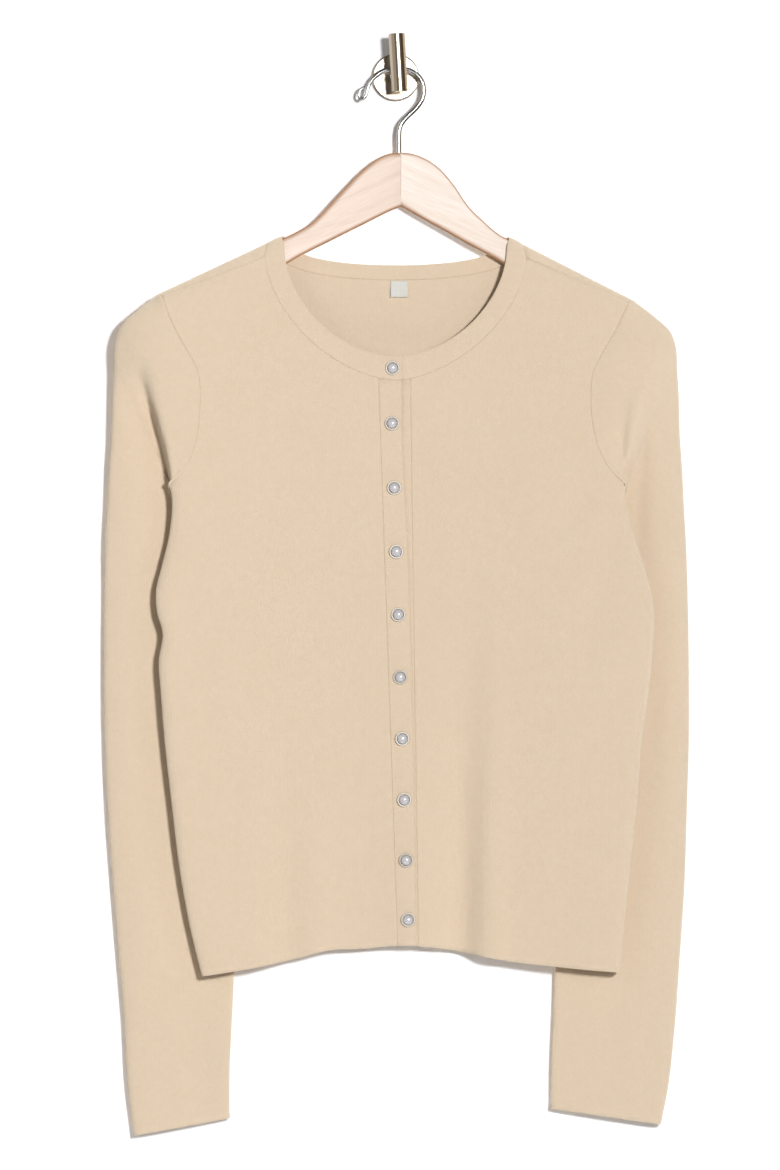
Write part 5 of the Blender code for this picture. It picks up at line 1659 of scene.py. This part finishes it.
def arm_outline(side):
    """Curves of the top and the bottom of one arm, by distance out from the joint."""
    rows = [tuple(row) for row in HANGER_NECK[side]]
    for out in ARM_OUTS:
        top = ridge_z(side * out) - CLOTH_REST
        rows.append((side * out, top, top - ARM_HEIGHT))
    for back_from_end, shrink in ARM_TIP:
        out = HANGER_END_OUT - back_from_end
        top = ridge_z(side * out) - CLOTH_REST
        rows.append((side * out, top - shrink, top - ARM_HEIGHT + shrink))
    outs = [side * row[0] for row in rows]
    return outs, curve_through(outs, [row[1] for row in rows]), curve_through(
        outs, [row[2] for row in rows])


print("height of an arm at the joint:", round(HANGER_NECK[RIGHT][0].top
                                              - HANGER_NECK[RIGHT][0].bottom, 4), "m")

# %% Arms
WOOD_HALF = 0.0055
WIDE_ROUND, EDGE_ROUND = 0.0040, 0.0025  # of the long edges on an arm's -X side, and the others
ROUND_STEPS = 5
ARM_COLUMNS = 72
ARM_CROWDING = 1.25  # the higher, the closer the columns at the tip
GRAIN_SLOPE = 0.48
GRAIN_THROUGH = 0.7  # how the grain shifts through the board's thickness
TINY = 1e-6


def round_edges(arm, side, joint_out, middle_at, radius):
    """Rounds an arm's sharp edges but those at the joint, and in the wide pass only one side."""
    pick_sharp_edges(SHARP)
    shape = bmesh.from_edit_mesh(arm.data)
    for edge in shape.edges:
        start, end = (vertex.co for vertex in edge.verts)
        at_joint = all(abs(side * place.x - joint_out) < TINY for place in (start, end))
        across = abs(start.x - end.x) < TINY
        faces_right = (start.z > middle_at(side * start.x)) == (side == LEFT)
        if at_joint or (radius == WIDE_ROUND and (across or faces_right)):
            edge.select_set(False)
    bmesh.update_edit_mesh(arm.data)
    bpy.ops.mesh.bevel(offset=radius, segments=ROUND_STEPS)


def lay_grain(arm, side):
    """Draws the UV map along the arm, so that the grain runs down its slope."""
    grain = arm.data.uv_layers.active or arm.data.uv_layers.new(name="grain")
    lean = math.atan(GRAIN_SLOPE) * -side
    for loop in arm.data.loops:
        x, y, z = arm.data.vertices[loop.vertex_index].co
        grain.data[loop.index].uv = (
            x * math.cos(lean) + z * math.sin(lean) + side,
            z * math.cos(lean) - x * math.sin(lean) + GRAIN_THROUGH * y,
        )


for side, name in SIDES.items():
    outs, top_at, bottom_at = arm_outline(side)
    bpy.ops.object.select_all(action="DESELECT")
    bpy.ops.mesh.primitive_grid_add(x_subdivisions=ARM_COLUMNS, y_subdivisions=1, size=1.0)
    arm = bpy.context.object
    arm.name = f"wooden_arm_{name}"
    for vertex in arm.data.vertices:
        share = vertex.co.x + 0.5
        out = lerp((outs[0], outs[-1]), 1.0 - (1.0 - share) ** ARM_CROWDING)
        height = top_at(out) if vertex.co.y > 0 else bottom_at(out)
        vertex.co = (side * out, -WOOD_HALF, height)
    bpy.ops.object.mode_set(mode="EDIT")
    bpy.ops.mesh.select_all(action="SELECT")
    extrude(0, 2 * WOOD_HALF, 0)
    face_outwards()
    for radius in (WIDE_ROUND, EDGE_ROUND):
        round_edges(arm, side, outs[0], lambda out: (top_at(out) + bottom_at(out)) / 2, radius)
    bpy.ops.object.mode_set(mode="OBJECT")
    for vertex in arm.data.vertices:
        vertex.co.y += middle_depth(vertex.co.x, 0.0)
    lay_grain(arm, side)
    smooth_by_angle(arm, 40, flat_faces=True)
    dress(arm, woods[side], "wood", f"hanger_arm_{name}")
    print(arm.name, triangles(arm), "triangles")

# %% [markdown]
# ## Wire hook and wall hook
#
# The hanger's hook is chromed steel wire whose end is curled into a small eye. The wall hook
# is a round plate with a post and an upright cylinder, turned from brass and plated in a
# satin nickel that looks a little warm beside the chrome.

# %% Metals
chrome = start_material("chromed_wire", "#E4E5E8", Metallic=1.0, Roughness=0.17)[0]
nickel = start_material("satin_nickel", "#E6DCCB", Metallic=1.0, Roughness=0.21)[0]
print("metals:", chrome.name, "and", nickel.name)

# %% Wire hook
WIRE_RADIUS = 0.00195
WIRE_Y = -0.0150
HOOK_POINTS = [
    PlaceRow(0.0027, -0.0588), PlaceRow(0.0027, -0.0500), PlaceRow(0.0028, -0.0425),
    PlaceRow(0.0042, -0.0368), PlaceRow(0.0078, -0.0318), PlaceRow(0.0124, -0.0274),
    PlaceRow(0.0171, -0.0225), PlaceRow(0.0208, -0.0166), PlaceRow(0.0221, -0.0100),
    PlaceRow(0.0207, -0.0032), PlaceRow(0.0164, 0.0024), PlaceRow(0.0100, 0.0059),
    PlaceRow(0.0022, 0.0068), PlaceRow(-0.0046, 0.0065), PlaceRow(-0.0105, 0.0046),
    PlaceRow(-0.0152, 0.0014), PlaceRow(-0.0188, -0.0026), PlaceRow(-0.0211, -0.0068),
]
EYE_POINTS = [
    PlaceRow(-0.0222, -0.0105), PlaceRow(-0.0232, -0.0140), PlaceRow(-0.0250, -0.0163),
    PlaceRow(-0.0270, -0.0168), PlaceRow(-0.0284, -0.0152), PlaceRow(-0.0284, -0.0124),
    PlaceRow(-0.0271, -0.0096), PlaceRow(-0.0252, -0.0080), PlaceRow(-0.0236, -0.0080),
]
EYE_THIN = 0.60  # thickness of the wire in the eye
EYE_STARTS = (0.72, 0.86)  # shares of the wire's length over which it thins
EYE_FORWARD = 0.0006
HOOK_STEPS = 150
route = along([(row.x, row.z) for row in HOOK_POINTS + EYE_POINTS],
              np.linspace(0, 1, HOOK_STEPS))
line = []
for number, (x, z) in enumerate(route):
    past = smoothstep(*EYE_STARTS, number / (len(route) - 1))
    line.append((x, WIRE_Y - EYE_FORWARD * past, z, lerp((1.0, EYE_THIN), past)))
hook = wire("chromed_hook", WIRE_RADIUS, 6, [line], closed=False)
smooth_by_angle(hook, 60)
dress(hook, chrome, "chrome", "hanger_hook")
print("chromed_hook", triangles(hook), "triangles")

# %% Wall plate
ROSE_RADIUS = 0.0184
ROSE_LIFT = 0.0010
ROSE_THICK = 0.0050
ROSE_EDGE = 0.0012
plate = disc(ROSE_RADIUS, 128, (0.0, 0.0, ROSE_LIFT), (math.radians(90.0), 0.0, 0.0))
plate.name = "wall_plate"
extrude(0, -ROSE_THICK, 0)
face_outwards()
pick_sharp_edges(SHARP)
shape = bmesh.from_edit_mesh(plate.data)
for edge in shape.edges:
    if edge.verts[0].co.y > -ROSE_THICK / 2:
        edge.select_set(False)
bmesh.update_edit_mesh(plate.data)
bpy.ops.mesh.bevel(offset=ROSE_EDGE, segments=5)
bpy.ops.object.mode_set(mode="OBJECT")
smooth_by_angle(plate, 40, flat_faces=True)
dress(plate, nickel, "nickel", "wall_rose")
print("wall_plate", triangles(plate), "triangles")

# %% Post and upright
POST_RADIUS = 0.0042
POST_START_Y = -0.0050
PEG_RADIUS = 0.0063
PEG_Y = -0.0290
PEG_TOP = (0.0008, 0.0334)  # x and z of its two ends: it leans a little
PEG_FOOT = (0.0034, -0.0118)
PEG_EDGE, POST_EDGE = 0.0005, 0.0002


def rounded_rod(name, radius, length, vertices, edge):
    """An upright rod round its own middle, its edges softened."""
    rod = disc(radius, vertices, (0.0, 0.0, -length / 2))
    rod.name = name
    extrude(0, 0, length)
    face_outwards()
    pick_sharp_edges(SHARP)
    bpy.ops.mesh.bevel(offset=edge, segments=4)
    bpy.ops.object.mode_set(mode="OBJECT")
    return rod


rise, run = PEG_TOP[1] - PEG_FOOT[1], PEG_TOP[0] - PEG_FOOT[0]
upright = rounded_rod("hook_upright", PEG_RADIUS, math.hypot(rise, run), 96, PEG_EDGE)
upright.rotation_euler = (0.0, math.atan2(run, rise), 0.0)
upright.location = ((PEG_FOOT[0] + PEG_TOP[0]) / 2, PEG_Y, (PEG_FOOT[1] + PEG_TOP[1]) / 2)
post = rounded_rod("hook_post", POST_RADIUS, POST_START_Y - PEG_Y, 64, POST_EDGE)
post.rotation_euler = (math.radians(90.0), 0.0, 0.0)
post.location = (0.0, (PEG_Y + POST_START_Y) / 2, 0.0)
only(upright)
post.select_set(True)
bpy.ops.object.transform_apply(location=True, rotation=True, scale=True)
join = upright.modifiers.new("join", "BOOLEAN")
join.operation = "UNION"
join.object = post
only(upright)
bpy.ops.object.modifier_apply(modifier=join.name)
bpy.data.objects.remove(post)
smooth_by_angle(upright, 40, flat_faces=True)
dress(upright, nickel, "nickel", "wall_peg")
print("hook_upright", triangles(upright), "triangles")

# %% [markdown]
# ## Floor, light and camera
#
# A plain pale floor lies well below the hem, and a white wall stands just behind the cloth.
# The light is that of a small studio. One soft key lamp to the right of the camera and a
# little above it draws the narrow shadow down the left of each edge. Two weak lamps and a
# pale room fill the rest, and a lamp behind the wall lights the back for whoever looks there.

# %% Floor
FLOOR_Z = -1.30
FLOOR_RADIUS = 1.15
bpy.ops.object.select_all(action="DESELECT")
bpy.ops.mesh.primitive_circle_add(vertices=96, radius=FLOOR_RADIUS, fill_type="NGON",
                                  location=(0.0, 0.0, FLOOR_Z))
floor = bpy.context.object
floor.name = "floor"
floor.data.materials.append(start_material("matte_painted_floor", "#F4F2EF", Roughness=0.7)[0])
print("floor at", FLOOR_Z, "m")

# %% Wall
# The wall is just behind the cloth, and catches its narrow soft shadows. Seen from behind it is
# clear, so that the back of the garment can be looked at.
WALL_Y = 0.0004
WALL_SIZE, WALL_MIDDLE_Z = 3.2, -0.40
WALL_GLOW = 0.01
bpy.ops.object.select_all(action="DESELECT")
bpy.ops.mesh.primitive_plane_add(size=WALL_SIZE, location=(0.0, WALL_Y, WALL_MIDDLE_Z),
                                 rotation=(math.radians(90.0), 0.0, 0.0))
backdrop = bpy.context.object
backdrop.name = "wall"
plaster, tree, shader = start_material(
    "white_wall_paint", "#FDFDFF", Roughness=0.9, Specular_IOR_Level=0.1,
    Emission_Color=linear("#FFFFFF"), Emission_Strength=WALL_GLOW)
geometry = add(tree, "NewGeometry")
clear = add(tree, "BsdfTransparent")
sided = add(tree, "MixShader", {0: (geometry, "Backfacing"), 1: (shader, 0), 2: (clear, 0)})
tree.links.new(sided.outputs[0], tree.nodes["Material Output"].inputs["Surface"])
backdrop.data.materials.append(plaster)
backdrop.visible_shadow = False  # the lamp behind it shines through
backdrop.visible_glossy = False  # the cards stand for what metal shows at its edges
print("wall at", WALL_Y, "m")

# %% Room light
world = bpy.data.worlds.new("pale_room")
bpy.context.scene.world = world
world.use_nodes = True
tree = world.node_tree
room = tree.nodes["Background"]
ROOM_FILL = 0.085
ROOM_SHINE = 0.07  # a studio is dark away from its lamps, and that is what metal shows
ROOM_SEEN = 1.0  # the camera sees it white
path = add(tree, "LightPath")
fill = add(tree, "Mix", {0: (path, "Is Glossy Ray"), 2: ROOM_FILL, 3: ROOM_SHINE})
strength = add(tree, "Mix", {0: (path, "Is Camera Ray"), 2: (fill, 0), 3: ROOM_SEEN})
tint = add(tree, "Mix", {0: (path, "Is Camera Ray"), 6: linear("#FFF4E6"), 7: linear("#FFFFFF")},
           data_type="RGBA")
tree.links.new(tint.outputs[2], room.inputs["Color"])
tree.links.new(strength.outputs[0], room.inputs["Strength"])
bpy.context.scene.view_settings.view_transform = "Standard"
print("room fill", ROOM_FILL, "and shine", ROOM_SHINE)

# %% Lamps
MIDDLE = np.array([0.0, -0.02, -0.40])  # of the garment
# Each lamp stands in a direction from the middle and faces a place given from there. The key
# lamp faces up and to the left, so its light fades towards the lower right.
Lamp = namedtuple("Lamp", "name direction distance size power colour faces mirrored")
LAMPS = [
    Lamp("key_lamp", (0.215, -1.0, 0.140), 4.2, 0.42, 197.0, "#FCFDFF", (-2.6, 0.0, 2.0), True),
    Lamp("side_lamp", (0.85, -1.0, 0.35), 3.0, 0.5, 4.5, "#FFFFFF", (0.0, 0.0, 0.0), False),
    Lamp("left_fill", (-0.9, -1.0, 0.3), 2.2, 1.2, 6.0, "#FFFFFF", (0.0, 0.0, 0.0), False),
    Lamp("back_lamp", (-0.5, 1.0, 0.5), 3.0, 1.6, 45.0, "#FFFFFF", (0.0, 0.0, 0.0), False),
]
for lamp in LAMPS:
    away = np.array(lamp.direction) / np.linalg.norm(lamp.direction) * lamp.distance
    light = bpy.data.lights.new(lamp.name, "AREA")
    light.size = lamp.size
    light.energy = lamp.power
    light.color = linear(lamp.colour)[:3]
    made = new_object(lamp.name, light)
    made.location = MIDDLE + away
    made.rotation_euler = Vector(lamp.faces - away).to_track_quat("-Z", "Y").to_euler()
    made.visible_glossy = lamp.mirrored
print("lamps:", len(LAMPS))

# %% Surroundings for the metals
# Polished metal shows what stands round it, and a bare pale room leaves it flat. Tall cards
# at the sides, seen only in reflections, stand for the dark and grey parts of a studio.
CARD_DISTANCE = 3.6
CARD_FOOT_Z, CARD_TOP_Z = -1.2, 2.6
CARD_STEP = 8.0  # degrees
Card = namedtuple("Card", "start end colour")  # degrees round from the camera, plus to +X
CARDS = [
    Card(-172.0, -84.0, "#D8D3CE"), Card(-84.0, -34.0, "#A89C92"), Card(-34.0, -10.0, "#4A4230"),
    Card(22.0, 96.0, "#4A3A2C"), Card(96.0, 172.0, "#D8C8B2"),
]


def card_material(name, colour):
    """Light of one colour, whatever falls on it."""
    made = bpy.data.materials.new(name)
    made.use_nodes = True
    tree = made.node_tree
    tree.nodes.remove(tree.nodes["Principled BSDF"])
    glow = add(tree, "Emission", {"Color": linear(colour), "Strength": 1.0})
    tree.links.new(glow.outputs[0], tree.nodes["Material Output"].inputs["Surface"])
    return made


for number, card in enumerate(CARDS, 1):
    steps = max(2, round((card.end - card.start) / CARD_STEP))
    points = []
    for turn in np.linspace(math.radians(card.start), math.radians(card.end), steps + 1):
        x, y = CARD_DISTANCE * math.sin(turn), -CARD_DISTANCE * math.cos(turn)
        points += [(x, y, CARD_FOOT_Z), (x, y, CARD_TOP_Z)]
    faces = [(2 * step, 2 * step + 2, 2 * step + 3, 2 * step + 1) for step in range(steps)]
    mesh = bpy.data.meshes.new(f"card_{number}")
    mesh.from_pydata(points, [], faces)
    mesh.materials.append(card_material(f"card_{number}", card.colour))
    made = new_object(f"card_{number}", mesh)
    for rays in ("camera", "diffuse", "shadow", "transmission"):
        setattr(made, f"visible_{rays}", False)
print("cards:", len(CARDS))

# %% Camera
FRAME_HEIGHT = 0.9126  # metres of the garment's plane in view
FRAME_X, GARMENT_Y, FRAME_Z = -0.0043, -0.022, -0.3962
CAMERA_DISTANCE = 6.0
SENSOR = 36.0
camera_data = bpy.data.cameras.new("camera")
camera_data.sensor_width = SENSOR
camera_data.lens = SENSOR * CAMERA_DISTANCE / FRAME_HEIGHT
camera = new_object("camera", camera_data)
camera.location = (FRAME_X, GARMENT_Y - CAMERA_DISTANCE, FRAME_Z)
camera.rotation_euler = (math.radians(90.0), 0.0, 0.0)
bpy.context.scene.camera = camera
print("lens", round(camera_data.lens, 1), "mm")
